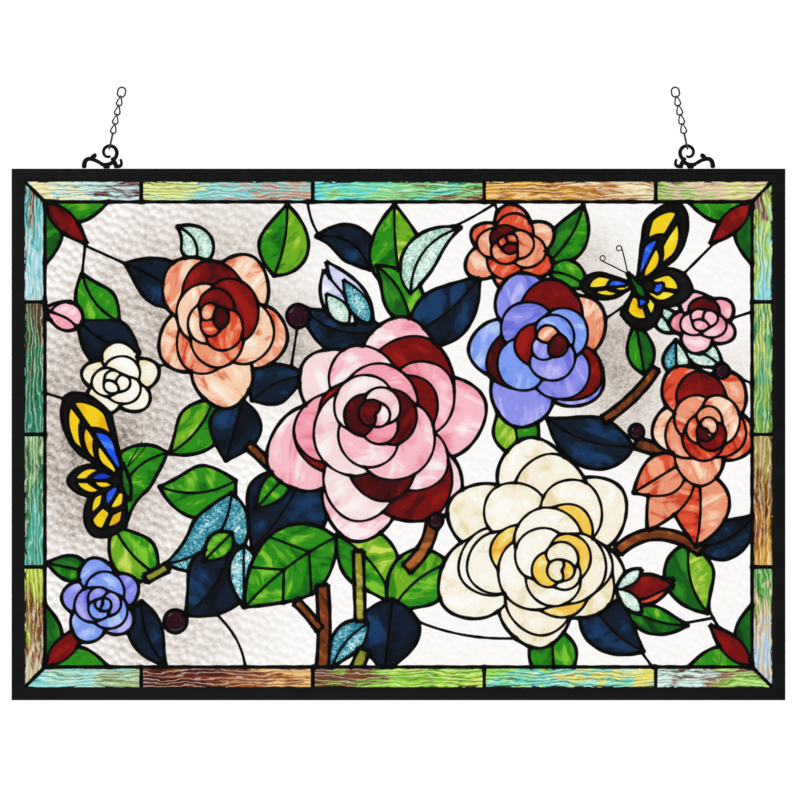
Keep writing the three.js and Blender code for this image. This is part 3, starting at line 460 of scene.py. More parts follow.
lens("bud_pink", (-316, 108), (-350, 116), 28, "pink", -0.2)
lens("bud_pink", (-320, 106), (-350, 124), 13, "rosepink", 0.1)
rose("rose_blush", (303, 112), 35, 30, 0.84, [
    (5, 1, 1.4, (0, 0), "rosepink pink"), (3, 0.7, 1.3, (0, 0.06), "darkruby pink rosepink"),
    (3, 0.42, 1.4, (0, 0.08), "pink rosepink")])
leaf("rose_scarlet", (298, -36), (296, -112), 58, "coral red", 0.05)
lens("rose_scarlet", (290, -22), (248, -96), 40, "coral")
leaf("rose_scarlet", (286, -26), (234, -58), 42, "coral red")
rose("rose_scarlet", (303, 12), 53, 40, 1.08, [
    (5, 1, 1.4, (0, 0), "coral red peach"), (3, 0.8, 1.1, (0, 0), "ruby coral red"),
    (3, 0.62, 1.45, (0.04, -0.06), "coral red peach"), (3, 0.4, 1.45, (0.06, -0.1), "red ruby coral"),
    (2, 0.22, 1.4, (0.08, -0.12), "darkruby coral")])
rose("rose_pink", (-19, 2), 104, 5, 1.03, [
    (6, 1, 1.4, (0, 0), "pink pink blush"), (3, 0.86, 0.9, (0.04, 0), "ruby"),
    (5, 0.8, 1.3, (-0.02, 0.03), "pink rosepink blush"), (3, 0.63, 0.9, (0, 0.05), "ruby darkruby"),
    (3, 0.58, 1.45, (-0.03, 0.08), "blush pink rosepink"), (3, 0.42, 1.45, (-0.04, 0.12), "pink ruby blush"),
    (3, 0.28, 1.45, (-0.04, 0.15), "rosepink blush darkruby"), (2, 0.15, 1.4, (-0.04, 0.17), "pink ruby")])
rose("rose_cream", (136, -111), 98, 22, 1, [
    (6, 1, 1.4, (0, 0), "cream ivory"), (3, 0.86, 0.8, (0.04, -0.02), "cream ivory"),
    (5, 0.78, 1.3, (0.06, -0.05), "cream ivory"), (3, 0.6, 0.9, (0.12, -0.1), "amber"),
    (3, 0.55, 1.45, (0.16, -0.14), "ivory cream"), (3, 0.4, 1.45, (0.2, -0.18), "cream amber ivory"),
    (3, 0.26, 1.45, (0.24, -0.22), "ivory cream amber"), (2, 0.14, 1.4, (0.27, -0.25), "amber cream")])
rose("rose_blue", (-297, -166), 40, 18, 1, [
    (5, 1, 1.4, (0, 0), "lilac sky"), (3, 0.7, 1.45, (0.03, -0.03), "sky lilac"),
    (3, 0.44, 1.45, (0.05, -0.06), "lilac sky"), (2, 0.22, 1.4, (0.06, -0.08), "sky")])
lens("bud_ruby", (222, -156), (274, -144), 28, "red", -0.1)
lens("bud_ruby", (224, -164), (274, -152), 24, "ruby", 0.15)
lens("bud_ruby", (242, -178), (216, -152), 16, "mint")
lens("bud_ruby", (242, -134), (216, -154), 14, "mint")
lens("bud_opal", (-26, 112), (-72, 172), 26, "pale")
lens("bud_opal", (-42, 110), (-74, 164), 24, "pale", 0.12)
lens("bud_opal", (-28, 110), (-55, 154), 20, "aqua")
lens("bud_opal", (-50, 110), (-72, 140), 20, "mint")

# Jewels
# Pressed glass domes, almost black from the front: two large ones beside the buds and three small ones on the
# branches. Each sits in a foiled round hole. The domes are made with the other glass, further on.
jewels = {}
for piece, middle, radius in [
    ("jewel_upper", (-100, 118), 12), ("jewel_lower", (-222, -186), 12), ("small_jewel_low", (37, -86), 8),
    ("small_jewel_right", (237, 3), 8), ("small_jewel_top", (322, 63), 8),
]:
    angle = np.linspace(0, 2 * np.pi, 33)[:-1]
    lay(piece, "jewel", on_sheet(np.array(middle) + radius * np.stack([np.cos(angle), np.sin(angle)], 1)))
    jewels[piece] = (on_sheet([middle])[0], radius * drawing_scale.min())

# Butterflies
# The wings' dark margins are black opaque glass, and their cells are plain yellow and cobalt cathedral glass.
# A wing fans out from the body, and each cell is a part of the fan.
opalescent("black", "#1A1614", "#0E0B0A", "#060404", streak=10, clear=0.0, rough=0.25)
opalescent("yellow", "#FDE83C", "#F8D414", "#EDB40A", streak=12, clear=0.92, rough=0.15)
opalescent("cobalt", "#4C88FC", "#1A58F0", "#0C34C4", streak=9, clear=0.92, rough=0.15)


def wing(piece, body, heading, reach, spread, peak, cells):
    """A fan in polar form. Its edge falls from the reach by 0.42 times the distance from the peak to the
    power 1.5. A cell runs from one share of the spread to another, between two shares of the reach."""
    def edge(shares, part):
        radius = reach * (1 - 0.42 * np.abs(shares - peak) ** 1.5) * part
        angle = np.radians(heading + spread * shares)
        return body + np.stack([radius * np.cos(angle), radius * np.sin(angle)], 1)
    lay(piece, "black", on_sheet(np.concatenate([[body], edge(np.linspace(-1, 1, 20), 1)])))
    for start, end, near, far, tone in cells:
        shares = np.linspace(start, end, 7)
        lay(piece, tone, on_sheet(np.concatenate([edge(shares, near), edge(shares, far)[::-1]])))


wing("butterfly_right", (237, 149), -68, 46, 50, -0.2, [
    (-0.85, -0.1, 0.3, 0.78, "yellow"), (0.05, 0.8, 0.3, 0.78, "yellow"), (-0.3, 0.3, 0.3, 0.5, "cobalt")])
wing("butterfly_right", (237, 149), -8, 56, 36, 0.1, [
    (-0.85, -0.1, 0.34, 0.76, "yellow"), (0, 0.75, 0.34, 0.76, "yellow"), (-0.45, 0.35, 0.34, 0.5, "cobalt")])
wing("butterfly_right", (237, 149), 186, 56, 25, -0.2, [
    (-0.8, 0.8, 0.14, 0.46, "yellow"), (-0.8, 0, 0.2, 0.54, "cobalt"), (-0.8, -0.05, 0.54, 0.86, "yellow"),
    (0.1, 0.8, 0.54, 0.84, "yellow")])
wing("butterfly_right", (237, 149), 58, 92, 25, 0.15, [
    (-0.8, 0.2, 0.16, 0.46, "yellow"), (0.25, 0.85, 0.14, 0.56, "cobalt"),
    (-0.75, -0.05, 0.52, 0.84, "yellow"),
    (0.1, 0.75, 0.62, 0.9, "yellow")])
lens("butterfly_right", (247, 134), (228, 161), 9, "deepgreen")
wing("butterfly_left", (-272, -46), 236, 64, 36, 0.1, [
    (-0.8, 0, 0.2, 0.5, "cobalt"), (0.1, 0.8, 0.2, 0.5, "yellow"), (-0.8, -0.3, 0.58, 0.84, "yellow"),
    (-0.2, 0.25, 0.56, 0.86, "yellow"), (0.35, 0.8, 0.58, 0.84, "yellow")])
wing("butterfly_left", (-272, -46), 180, 58, 28, 0, [
    (-0.8, -0.05, 0.3, 0.6, "cobalt"), (-0.8, -0.05, 0.66, 0.88, "yellow"), (0.05, 0.8, 0.3, 0.56, "yellow"),
    (0.05, 0.8, 0.62, 0.86, "yellow")])
wing("butterfly_left", (-272, -46), 126, 104, 24, -0.1, [
    (-0.8, -0.1, 0.14, 0.56, "cobalt"), (0, 0.8, 0.14, 0.44, "yellow"), (-0.8, -0.1, 0.6, 0.9, "yellow"),
    (0, 0.8, 0.5, 0.66, "yellow"), (0, 0.75, 0.72, 0.9, "yellow")])
lens("butterfly_left", (-268, -66), (-275, -28), 9, "deepgreen")

# Border
# A strip of rippled, streaky glass on all four sides, in four or five lengths with mitred ends at the
# corners. Its outer edge goes into the channel, and each length was cut from another part of the sheet, so
# their colours differ.
ripple_pitch = 4.2
strip_reach = border_width + 6.5


def border_glass():
    """Rippled art glass: its colours flow into one another along each length, the first at its one end and
    the third at the other, drawn out by slow noise. Fine wavy ridges about 4 mm apart run along the strip,
    and painted shade and painted highlights show them as thin dark and bright lines. "relief" holds the
    share along the length, and the three colours are attributes."""
    material, shader = surface("rippled", {"Transmission Weight": 0.96, "Roughness": 0.1, "IOR": 1.52})
    sheet = node(material, "ShaderNodeUVMap", uv_map="sheet").outputs["UV"]
    flow = node(material, "ShaderNodeMapping", {"Vector": sheet, "Scale": (0.3, 1, 1)}).outputs["Vector"]
    stir = node(material, "ShaderNodeTexNoise", {"Vector": flow, "Scale": 1 / (15 * mm), "Detail": 5.0,
                                                 "Roughness": 0.6, "Distortion": 1.6}).outputs["Fac"]
    share = node(material, "ShaderNodeAttribute", attribute_name="relief").outputs["Fac"]
    drift = node(material, "ShaderNodeMapRange", {"Value": stir, "From Min": 0.25, "From Max": 0.75,
                                                  "To Min": -0.75, "To Max": 0.75}).outputs["Result"]
    place = node(material, "ShaderNodeMath", {0: share, 1: drift}, operation="ADD").outputs[0]
    first, second, third = [
        node(material, "ShaderNodeAttribute", attribute_name=name).outputs["Color"]
        for name in ("streak_a", "streak_b", "streak_c")]
    low = node(material, "ShaderNodeMapRange", {"Value": place, "From Min": 0.15, "From Max": 0.5})
    high = node(material, "ShaderNodeMapRange", {"Value": place, "From Min": 0.6, "From Max": 0.95})
    part = node(material, "ShaderNodeMix", {"Factor": low.outputs["Result"], 6: first, 7: second},
                data_type="RGBA")
    whole = node(material, "ShaderNodeMix", {"Factor": high.outputs["Result"], 6: part.outputs[2], 7: third},
                 data_type="RGBA")
    ridges = node(material, "ShaderNodeTexWave", {"Vector": flow, "Scale": math.pi / (10 * ripple_pitch * mm),
                                                  "Distortion": 14.0, "Detail": 3.0, "Detail Scale": 0.9,
                                                  "Detail Roughness": 0.6},
                                                  bands_direction="Y").outputs["Fac"]
    # Painted shade and painted highlights: thin dark lines and bright ones along the ridges, stronger in slow
    # patches.
    lines = node(material, "ShaderNodeValToRGB", {"Fac": ridges},
                 stops=[(0.0, linear("#4A4038")), (0.12, linear("#D8D4C8")), (0.7, linear("#F2F0EA")),
                        (1.0, linear("#FFFFFF"))]).outputs["Color"]
    calm = node(material, "ShaderNodeTexNoise",
                {"Vector": flow, "Scale": 1 / (22 * mm), "Detail": 2.0}).outputs["Fac"]
    depth = node(material, "ShaderNodeMapRange", {"Value": calm, "From Min": 0.38, "From Max": 0.6,
                                                  "To Min": 0.2, "To Max": 0.85}).outputs["Result"]
    shaded = node(material, "ShaderNodeMix", {"Factor": depth, 6: whole.outputs[2], 7: lines},
                  data_type="RGBA", blend_type="MULTIPLY").outputs[2]
    # Painted highlight: a warm white glint on the ridges' crests.
    glow = node(material, "ShaderNodeMapRange", {"Value": ridges, "From Min": 0.86, "From Max": 1.0,
                                                 "To Min": 0.0, "To Max": 0.4}).outputs["Result"]
    bright = node(material, "ShaderNodeMix", {"Factor": glow, 6: shaded, 7: linear("#FFFBE8")},
                  data_type="RGBA").outputs[2]
    bump = node(material, "ShaderNodeBump", {"Height": ridges, "Strength": 0.5, "Distance": 1 * mm})
    join_to(material, shader, Base_Color=bright, Normal=bump.outputs["Normal"])
    glasses["rippled"] = material


border_glass()
border_colours = {
    "border_top": [
        ("#FBF3B8", "#C4F0F0", "#5A1E28"), ("#E2F08C", "#7FE0E4", "#C8A08C"),
        ("#4FDCE0", "#86E08C", "#8A5A34"),
        ("#F0B84C", "#C07A34", "#FBEAC0"), ("#9CC85A", "#E8C8B0", "#E4E88A")],
    "border_bottom": [
        ("#8FE8EC", "#B0E8D4", "#9AB87A"), ("#5A1A10", "#A85A2C", "#F0BE6A"),
        ("#7A4A28", "#8FDC38", "#C8EC5A"),
        ("#9AE85A", "#6FE0D8", "#F0E868"), ("#D4F6F0", "#8A5A3C", "#A8E86A")],
    "border_left": [
        ("#B8E4EC", "#5CC8D0", "#8A4A30"), ("#2C8A70", "#3C8A5C", "#5A4A2C"),
        ("#4FB8A4", "#3C7A50", "#9AC88C"),
        ("#D8CFA8", "#8A4E2C", "#C8E04A")],
    "border_right": [
        ("#8FE0EC", "#B8E060", "#7A3A4E"), ("#86B84C", "#4CA870", "#B8D86A"),
        ("#E8B04C", "#8A4A24", "#B8A85A"),
        ("#B8D4EC", "#E0C8A0", "#5CB04C")],
}
strip_colours = {}
for name, side, across, lengths, corner_share, turn in [
    ("border_top", field_width, field_height, 5, 0.62, 0),
    ("border_bottom", field_width, field_height, 5, 0.62, 2),
    ("border_left", field_height, field_width, 4, 0.83, 1),
    ("border_right", field_height, field_width, 4, 0.83, 3),
]:
    pitch = (side + border_width) / (lengths - 2 + 2 * corner_share)
    joints = (np.arange(lengths - 1) - (lengths - 2) / 2) * pitch
    inner = np.concatenate([[-side / 2], joints, [side / 2]])
    outer = np.concatenate([[-side / 2 - strip_reach], joints, [side / 2 + strip_reach]])
    quarter = np.array([[0, 1], [-1, 0]])
    for i in range(lengths):
        low, high = across / 2, across / 2 + strip_reach
        outline = np.array([[inner[i], low], [inner[i + 1], low], [outer[i + 1], high], [outer[i], high]])
        lay(name, "rippled", outline @ np.linalg.matrix_power(quarter, turn))
        place = i if turn == 0 or turn == 3 else lengths - 1 - i
        strip_colours[len(pattern) - 1] = border_colours[name][place]

# Cutting and laying the glass
# Each piece is cut to what shows of its outline on the sheet, its edge is ground back a little for the foil,
# and all are laid out side by side. Pieces of one flower or leaf make one object.
foil_gap = 0.45
smallest_cut = 30.0
fine_pitch, coarse_pitch = 2.0, 3.6
border_start = next(i for i, (piece, _, _) in enumerate(pattern) if piece.startswith("border"))
rng = np.random.default_rng(7)


def inside(points, outline):
    """Whether each point lies in an outline: the number of sides that a ray to the right crosses is odd."""
    x, z = points[:, 0][:, None], points[:, 1][:, None]
    ax, az = outline.T
    bx, bz = np.roll(outline, -1, 0).T
    crosses = (az > z) != (bz > z)
    reach = ax + (z - az) * (bx - ax) / np.where(bz == az, 1, bz - az)
    return (crosses & (x < reach)).sum(1) % 2 == 1


def topmost(points):
    """The number of the last outline that covers each point."""
    top = np.zeros(len(points), int)
    for number, (_, _, outline) in enumerate(pattern):
        near = np.flatnonzero(((points > outline.min(0)) & (points < outline.max(0))).all(1))
        top[near[inside(points[near], outline)]] = number
    return top


def spread_points(pitch):
    """Points over the whole sheet at an even pitch, every second row set off by half a step."""
    half_x, half_z = field_width / 2 + strip_reach - 2, field_height / 2 + strip_reach - 2
    x, z = np.meshgrid(np.arange(-half_x, half_x, pitch), np.arange(-half_z, half_z, pitch * 0.87))
    x = x + (np.arange(len(x)) % 2)[:, None] * pitch / 2
    return np.stack([x.ravel(), z.ravel()], 1)


fine, coarse = spread_points(fine_pitch), spread_points(coarse_pitch)
fine_top, coarse_top = topmost(fine), topmost(coarse)
free_points = np.concatenate([
    fine[(fine_top == 0) | (fine_top >= border_start)],
    coarse[(coarse_top > 0) & (coarse_top < border_start)]])
free_points += rng.uniform(-0.25, 0.25, free_points.shape)
lines = [np.concatenate([outline, outline[:1]]) for _, _, outline in pattern] + clear_seams
starts = np.cumsum([0] + [len(line) for line in lines])
cut_edges = [(i, i + 1) for a, b in zip(starts, starts[1:]) for i in range(a, b - 1)]
first_seam_edge = sum(len(line) - 1 for line in lines[:len(pattern)])
points, edges, triangles, _, edge_sources, _ = delaunay_2d_cdt(
    np.concatenate(lines + [free_points]).tolist(), cut_edges, [], 0, 1e-4, True)
points = np.array([tuple(point) for point in points])
triangles = np.array([list(triangle) for triangle in triangles])
spans = points[triangles[:, 1:]] - points[triangles[:, :1]]
twice_area = spans[:, 0, 0] * spans[:, 1, 1] - spans[:, 0, 1] * spans[:, 1, 0]
triangles = np.where((twice_area < 0)[:, None], triangles[:, ::-1], triangles)
areas = np.abs(twice_area) / 2
top = topmost(points[triangles].mean(1))

# Triangles that share a side that is no cut belong to one piece of glass
sides = np.stack([triangles, np.roll(triangles, -1, 1)], 2).reshape(-1, 2)
owner = np.repeat(np.arange(len(triangles)), 3)
side_key = np.sort(sides, 1) @ [len(points), 1]
order = np.argsort(side_key, kind="stable")
same = np.flatnonzero(side_key[order][1:] == side_key[order][:-1])
pair_a, pair_b = owner[order[same]], owner[order[same + 1]]
pair_ends = sides[order[same]]
seam_keys = [
    min(edge) * len(points) + max(edge)
    for edge, sources in zip(edges, edge_sources)
    if any(source >= first_seam_edge for source in sources)]
on_seam = np.isin(side_key[order[same]], seam_keys) & (top[pair_a] == 0) & (top[pair_b] == 0)
open_pair = (top[pair_a] == top[pair_b]) & ~on_seam
cell = np.arange(len(triangles))
settled = False
while not settled:
    lowest = np.arange(len(triangles))
    a, b = cell[pair_a[open_pair]], cell[pair_b[open_pair]]
    np.minimum.at(lowest, a, b)
    np.minimum.at(lowest, b, a)
    for _ in range(6):
        lowest = lowest[lowest]
    settled = (lowest[cell] == cell).all()
    cell = lowest[cell]

# A sliver too small to cut is left to the neighbour that it shares the longest side with
side_lengths = np.hypot(*(points[pair_ends[:, 0]] - points[pair_ends[:, 1]]).T)
for _ in range(4):
    cell_area = np.bincount(cell, areas, len(triangles))
    for small in [c for c in np.unique(cell) if cell_area[c] < smallest_cut]:
        beside = (cell[pair_a] == small) != (cell[pair_b] == small)
        other = np.where(cell[pair_a] == small, cell[pair_b], cell[pair_a])[beside]
        shared = np.bincount(other, side_lengths[beside], len(triangles)) * (cell_area > 0)
        winner = shared.argmax()
        top[cell == small] = top[winner]
        cell[cell == small] = winner


def relief_of(points, kind):
    """How far the front of the glass sinks at each point, in mm. Hammered glass: cones round the points of a
    jittered grid. Rippled glass: a sine along the strip, bent by slower waves. Rolled glass: three slow plane
    waves."""
    x, z = points.T
    if kind == "clear":
        row = np.floor(z / dimple_size)
        best = np.full(len(points), 9.0)
        for up in (-1, 0, 1):
            for along in (-1, 0, 1):
                i, j = np.floor(x / dimple_size) + along, row + up
                centre_x = (i + 0.5 + 0.34 * np.sin(12.9 * i + 78.2 * j)) * dimple_size
                centre_z = (j + 0.5 + 0.34 * np.sin(39.4 * i + 11.1 * j)) * dimple_size
                best = np.minimum(best, np.hypot(x - centre_x, z - centre_z))
        rough = 1 / (1 + np.exp((x + 160) / 45))
        return (0.12 + 0.88 * rough) * 0.5 * np.clip(1 - best / (0.75 * dimple_size), 0, 1)
    if kind == "rippled":
        bent = x + 3 * np.sin(z / 9 + x / 60) + 4 * np.sin(x / 37)
        return 0.35 * (1 + np.sin(2 * np.pi * bent / ripple_pitch)) * (1 + 0.4 * np.sin(z / 5 + x / 23)) / 2
    return 0.05 * (np.sin(x / 9 + z / 17) + np.sin(z / 7 - x / 13) + np.sin((x + z) / 11) + 3)


def shrink(faces):
    """The outline of a piece's triangles moved inwards: each vertex on it goes along the sum of its sides'
    normals. Returns the piece's own vertices, its triangles on them and the directed sides of its outline."""
    used, local = np.unique(faces, return_inverse=True)
    local = local.reshape(faces.shape)
    ends = np.stack([local, np.roll(local, -1, 1)], 2).reshape(-1, 2)
    keys = np.sort(ends, 1) @ [len(used), 1]
    _, first, times = np.unique(keys, return_index=True, return_counts=True)
    rim = ends[first[times == 1]]
    place = points[used].copy()
    along = place[rim[:, 1]] - place[rim[:, 0]]
    normal = np.stack([-along[:, 1], along[:, 0]], 1) / np.maximum(np.hypot(*along.T), 1e-9)[:, None]
    push = np.zeros_like(place)
    np.add.at(push, rim[:, 0], normal)
    np.add.at(push, rim[:, 1], normal)
    length = np.maximum(np.hypot(*push.T), 1e-9)[:, None]
    return place + np.where(length > 1e-6, push / length, 0) * foil_gap, local, rim


def glass_object(name, cells, replaced):
    """One mesh of all the pieces of a figure. A piece has a front with relief, a flat back and walls
    between."""
    verts, faces, patch, sheet, tones, marks, streaks = [], [], [], [], [], [], []
    total = 0
    used = []
    for number in cells:
        which = np.flatnonzero(cell == number)
        place, local, rim = shrink(triangles[which])
        count = len(place)
        owner_of = top[which[0]]
        tone_name = pattern[owner_of][1]
        middle = place.mean(0)
        if tone_name == "clear":
            tone_name = "hammered" if middle[0] < -90 else "seedy"
        glass = glasses[tone_name]
        if glass not in used:
            used.append(glass)
        is_side = pattern[owner_of][0] in ("border_left", "border_right")
        turn = (math.pi / 2 if is_side else 0.0) if tone_name == "rippled" else rng.uniform(0, 2 * math.pi)
        spin = np.array([[math.cos(turn), -math.sin(turn)], [math.sin(turn), math.cos(turn)]])
        kind = {"hammered": "clear", "seedy": "clear", "rippled": "rippled"}.get(tone_name, "rolled")
        depth = relief_of(place if kind == "clear" else (place - middle) @ spin + 200 * rng.uniform(0, 1),
                          kind)
        front = np.stack([place[:, 0], -glass_thickness / 2 + depth, place[:, 1]], 1)
        back = np.stack([place[:, 0], np.full(count, glass_thickness / 2), place[:, 1]], 1)
        verts += [front, back]
        a, b = rim.T
        walls = np.concatenate([
            np.stack([a, a + count, b + count], 1), np.stack([a, b + count, b], 1)])
        faces.append(np.concatenate([local, local[:, ::-1] + count, walls]) + total)
        patch.append(np.full(2 * len(local) + len(walls), used.index(glass)))
        flat = (place - middle) @ spin * mm + rng.uniform(0, 4, 2)
        sheet += [flat, flat]
        # Painted shade on rolled glass: each piece is painted darker near its edges and lighter towards its
        # middle, on top of its own random tone.
        edge = place[np.unique(rim)][::2]
        near = np.array([np.hypot(*(edge - point).T).min()
                         for point in place]) if kind == "rolled" else np.zeros(count)
        reach = max(near.max(), 4.0)
        tone = rng.uniform(-0.07, 0.05) + 0.13 * np.clip(near / reach, 0, 1) ** 1.5 - 0.02
        tone = np.broadcast_to(tone, count)
        if kind == "clear":
            # Clear glass: tone is its painted grey, and relief is the dimples' slope, for a painted highlight
            # on one side and painted shade on the other.
            slope = relief_of(place + [0.3, 0.8], kind) - relief_of(place - [0.3, 0.8], kind)
            tone = painted_greyness(place)
            marks += [1.3 * slope, 1.3 * slope]
        else:
            along = np.abs(place[:, 1 if is_side else 0] - place[:, 1 if is_side else 0].min())
            marks += [along / max(along.max(), 1), along / max(along.max(), 1)]
        tones += [tone, tone]
        colours = strip_colours.get(owner_of, ("#FFFFFF",) * 3)
        streaks.append(np.tile([linear(colour) for colour in colours], (2 * count, 1, 1)))
        total += 2 * count
    mesh = bpy.data.meshes.new(name)
    faces = np.concatenate(faces)
    mesh.vertices.add(total)
    mesh.vertices.foreach_set("co", (np.concatenate(verts) * mm + [0, 0, panel_middle]).ravel())
    mesh.loops.add(3 * len(faces))
    mesh.loops.foreach_set("vertex_index", faces.ravel())
    mesh.polygons.add(len(faces))
    mesh.polygons.foreach_set("loop_start", np.arange(len(faces)) * 3)
    mesh.polygons.foreach_set("material_index", np.concatenate(patch))
    mesh.update(calc_edges=True)
    uv = mesh.uv_layers.new(name="sheet")
    uv.data.foreach_set("uv", np.concatenate(sheet)[faces.ravel()].ravel())
    for key, values in (("tone", tones), ("relief", marks)):
        mesh.attributes.new(key, "FLOAT", "POINT").data.foreach_set("value", np.concatenate(values))
    for i, key in enumerate(("streak_a", "streak_b", "streak_c")):
        colours = np.concatenate(streaks)[:, i]
        mesh.attributes.new(key, "FLOAT_COLOR", "POINT").data.foreach_set("color", colours.ravel())
    for glass in used:
        mesh.materials.append(glass)
    mesh.shade_smooth()
    mesh.set_sharp_from_angle(angle=math.radians(40))
    made = bpy.data.objects.new(name, mesh)
    bpy.context.scene.collection.objects.link(made)
    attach(made, "root")
    if replaced:
        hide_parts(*replaced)


by_name = {}
for number in np.unique(cell):
    by_name.setdefault(pattern[top[cell == number][0]][0], []).append(number)
by_name = {name: cells for name, cells in by_name.items() if name not in jewels}
clear_nodes = [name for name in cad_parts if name.startswith("clear_glass")]
for name, cells in by_name.items():
    replaced = clear_nodes if name == "clear_glass" else [name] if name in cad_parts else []
    glass_object(name + "_pieces", cells, replaced)


# Domed jewels
# The pressed domes, flat at the back and round in front, a little smaller than their foiled holes.
dome_height = 4.0


def solid_object(name, verts, faces, material, replaced=()):
    """A mesh from points in mm and faces, with its outsides facing out, one material and smooth shading."""
    mesh = bpy.data.meshes.new(name)
    mesh.from_pydata((np.asarray(verts) * mm).tolist(), [], [[int(i) for i in face] for face in faces])
    mesh.materials.append(material)
    mesh.shade_smooth()
    mesh.set_sharp_from_angle(angle=math.radians(50))
    made = bpy.data.objects.new(name, mesh)
    bpy.context.scene.collection.objects.link(made)
    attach(made, "root")
    if replaced:
        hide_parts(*replaced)
    return made


def jewel_glass():
    """Dark plum pressed glass with faint cords of lighter red, polished on the front."""
    material, shader = surface("pressed_plum", {"Transmission Weight": 0.9, "Roughness": 0.06, "IOR": 1.52})
    place = node(material, "ShaderNodeTexCoord").outputs["Object"]
    cords = node(material, "ShaderNodeTexNoise", {"Vector": place, "Scale": 1 / (5 * mm), "Detail": 3.0,
                                                  "Distortion": 2.0})
    colour = node(material, "ShaderNodeValToRGB", {"Fac": cords.outputs["Fac"]},
                  stops=[(0.35, linear("#14040C")), (0.55, linear("#2E0A1C")), (0.75, linear("#6A1C3C"))])
    join_to(material, shader, Base_Color=colour.outputs["Color"])
    return material


def lathe(profile, steps):
    """A profile of (radius, height) pairs turned about the Y axis, its first and last points on the axis."""
    profile = np.asarray(profile, float)
    angle = np.arange(steps) / steps * 2 * np.pi
    ring = profile[1:-1]
    verts = np.stack([ring[:, :1] * np.cos(angle), np.repeat(ring[:, 1:], steps, 1),
                      ring[:, :1] * np.sin(angle)], 2)
    verts = np.concatenate([verts.reshape(-1, 3), [[0, profile[0, 1], 0], [0, profile[-1, 1], 0]]])
    here, ahead = np.arange(steps), (np.arange(steps) + 1) % steps
    rows = len(ring)
    faces = [np.stack([here + r * steps, ahead + r * steps, ahead + (r + 1) * steps, here + (r + 1) * steps],
                      1)
             for r in range(rows - 1)]
    first = np.stack([ahead, here, np.full(steps, rows * steps)], 1)
    last = np.stack([here + (rows - 1) * steps, ahead + (rows - 1) * steps, np.full(steps, rows * steps + 1)],
                    1)
    return verts, [*first, *np.concatenate(faces), *last]


plum = jewel_glass()
for name, (middle, radius) in jewels.items():
    share = np.linspace(0, np.pi / 2, 9)[:-1]
    round_front = np.stack([(radius - 1.8) * np.cos(share), -1.5 - (dome_height - 1.5) * np.sin(share)], 1)
    profile = [(0, 1.5), (radius - 2.1, 1.5), (radius - 1.8, 1.2), *round_front, (0, -dome_height)]
    verts, faces = lathe(profile, 32)
    solid_object(name + "_dome", verts + [middle[0], 0, middle[1] + panel_middle / mm], faces, plum,
                 [name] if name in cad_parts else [])

# Solder
# The copper-foiled edges are tinned and then run together with a bead of solder on the front and back, which
# stands about a millimetre proud, thickens where seams meet, and is blackened with patina. All of it is one
# casting.
seam_half_width, flower_half_width = 2.1, 1.6
bead_half_depth = 2.5
bead_step = 3.4


def patina_metal(name, base, brown, metallic, low_gloss, high_gloss, grain, bump):
    """Blackened metal: a dark even coat with faint brown and grey clouds, rubbed shinier in places, and a
    fine hand-worked unevenness. grain is the size of the clouds in mm."""
    material, shader = surface(name, {"Metallic": metallic})
    place = node(material, "ShaderNodeTexCoord").outputs["Object"]
    clouds = node(material, "ShaderNodeTexNoise", {"Vector": place, "Scale": 1 / (grain * mm), "Detail": 6.0,
                                                   "Roughness": 0.6})
    colour = node(material, "ShaderNodeValToRGB", {"Fac": clouds.outputs["Fac"]},
                  stops=[(0.3, linear(base)), (0.7, linear(brown))])
    gloss = node(material, "ShaderNodeMapRange",
                 {"Value": clouds.outputs["Fac"], "From Min": 0.3, "From Max": 0.7,
                  "To Min": low_gloss, "To Max": high_gloss})
    pits = node(material, "ShaderNodeTexNoise", {"Vector": place, "Scale": 1 / (1.6 * mm), "Detail": 4.0})
    bumps = node(material, "ShaderNodeBump",
                 {"Height": pits.outputs["Fac"], "Strength": bump, "Distance": 0.3 * mm})
    join_to(material, shader, Base_Color=colour.outputs["Color"], Roughness=gloss.outputs["Result"],
            Normal=bumps.outputs["Normal"])
    return material


def bead(line, half_widths, half_depths, depth=0.0, sides=8, power=0.85):
    """A closed bead along a line in the panel's plane. Its section is a superellipse, whose half width and
    half depth are given at every point, and a pole just past each end closes it."""
    along = np.gradient(line, axis=0)
    along /= np.maximum(np.hypot(*along.T), 1e-9)[:, None]
    across = np.stack([-along[:, 1], along[:, 0]], 1)
    angle = np.arange(sides) / sides * 2 * np.pi
    wide = np.sign(np.cos(angle)) * np.abs(np.cos(angle)) ** power
    deep = np.sign(np.sin(angle)) * np.abs(np.sin(angle)) ** power
    ring = line[:, None] + across[:, None] * (half_widths[:, None] * wide)[:, :, None]
    verts = np.stack([ring[:, :, 0], depth + half_depths[:, None] * deep, ring[:, :, 1]], 2).reshape(-1, 3)
    tips = [line[0] - along[0] * half_widths[0] * 0.4, line[-1] + along[-1] * half_widths[-1] * 0.4]
    verts = np.concatenate([verts, [[tip[0], depth, tip[1]] for tip in tips]])
    k = np.arange(sides)
    turn = (k + 1) % sides
    rows = np.arange(len(line) - 1)[:, None] * sides
    quads = np.stack([rows + k, rows + k + sides, rows + turn + sides, rows + turn], 2).reshape(-1, 4)
    end = (len(line) - 1) * sides
    pole = len(line) * sides
    start_cap = np.stack([np.full(sides, pole), k, turn], 1)
    end_cap = np.stack([np.full(sides, pole + 1), end + turn, end + k], 1)
    return verts, [*quads, *start_cap, *end_cap]


def gather(parts):
    """Several (points, faces) pairs as one, each part's faces counted on from the last's points."""
    verts, faces, total = [], [], 0
    for some_verts, some_faces in parts:
        verts.append(some_verts)
        faces += [face + total for face in some_faces]
        total += len(some_verts)
    return np.concatenate(verts), faces


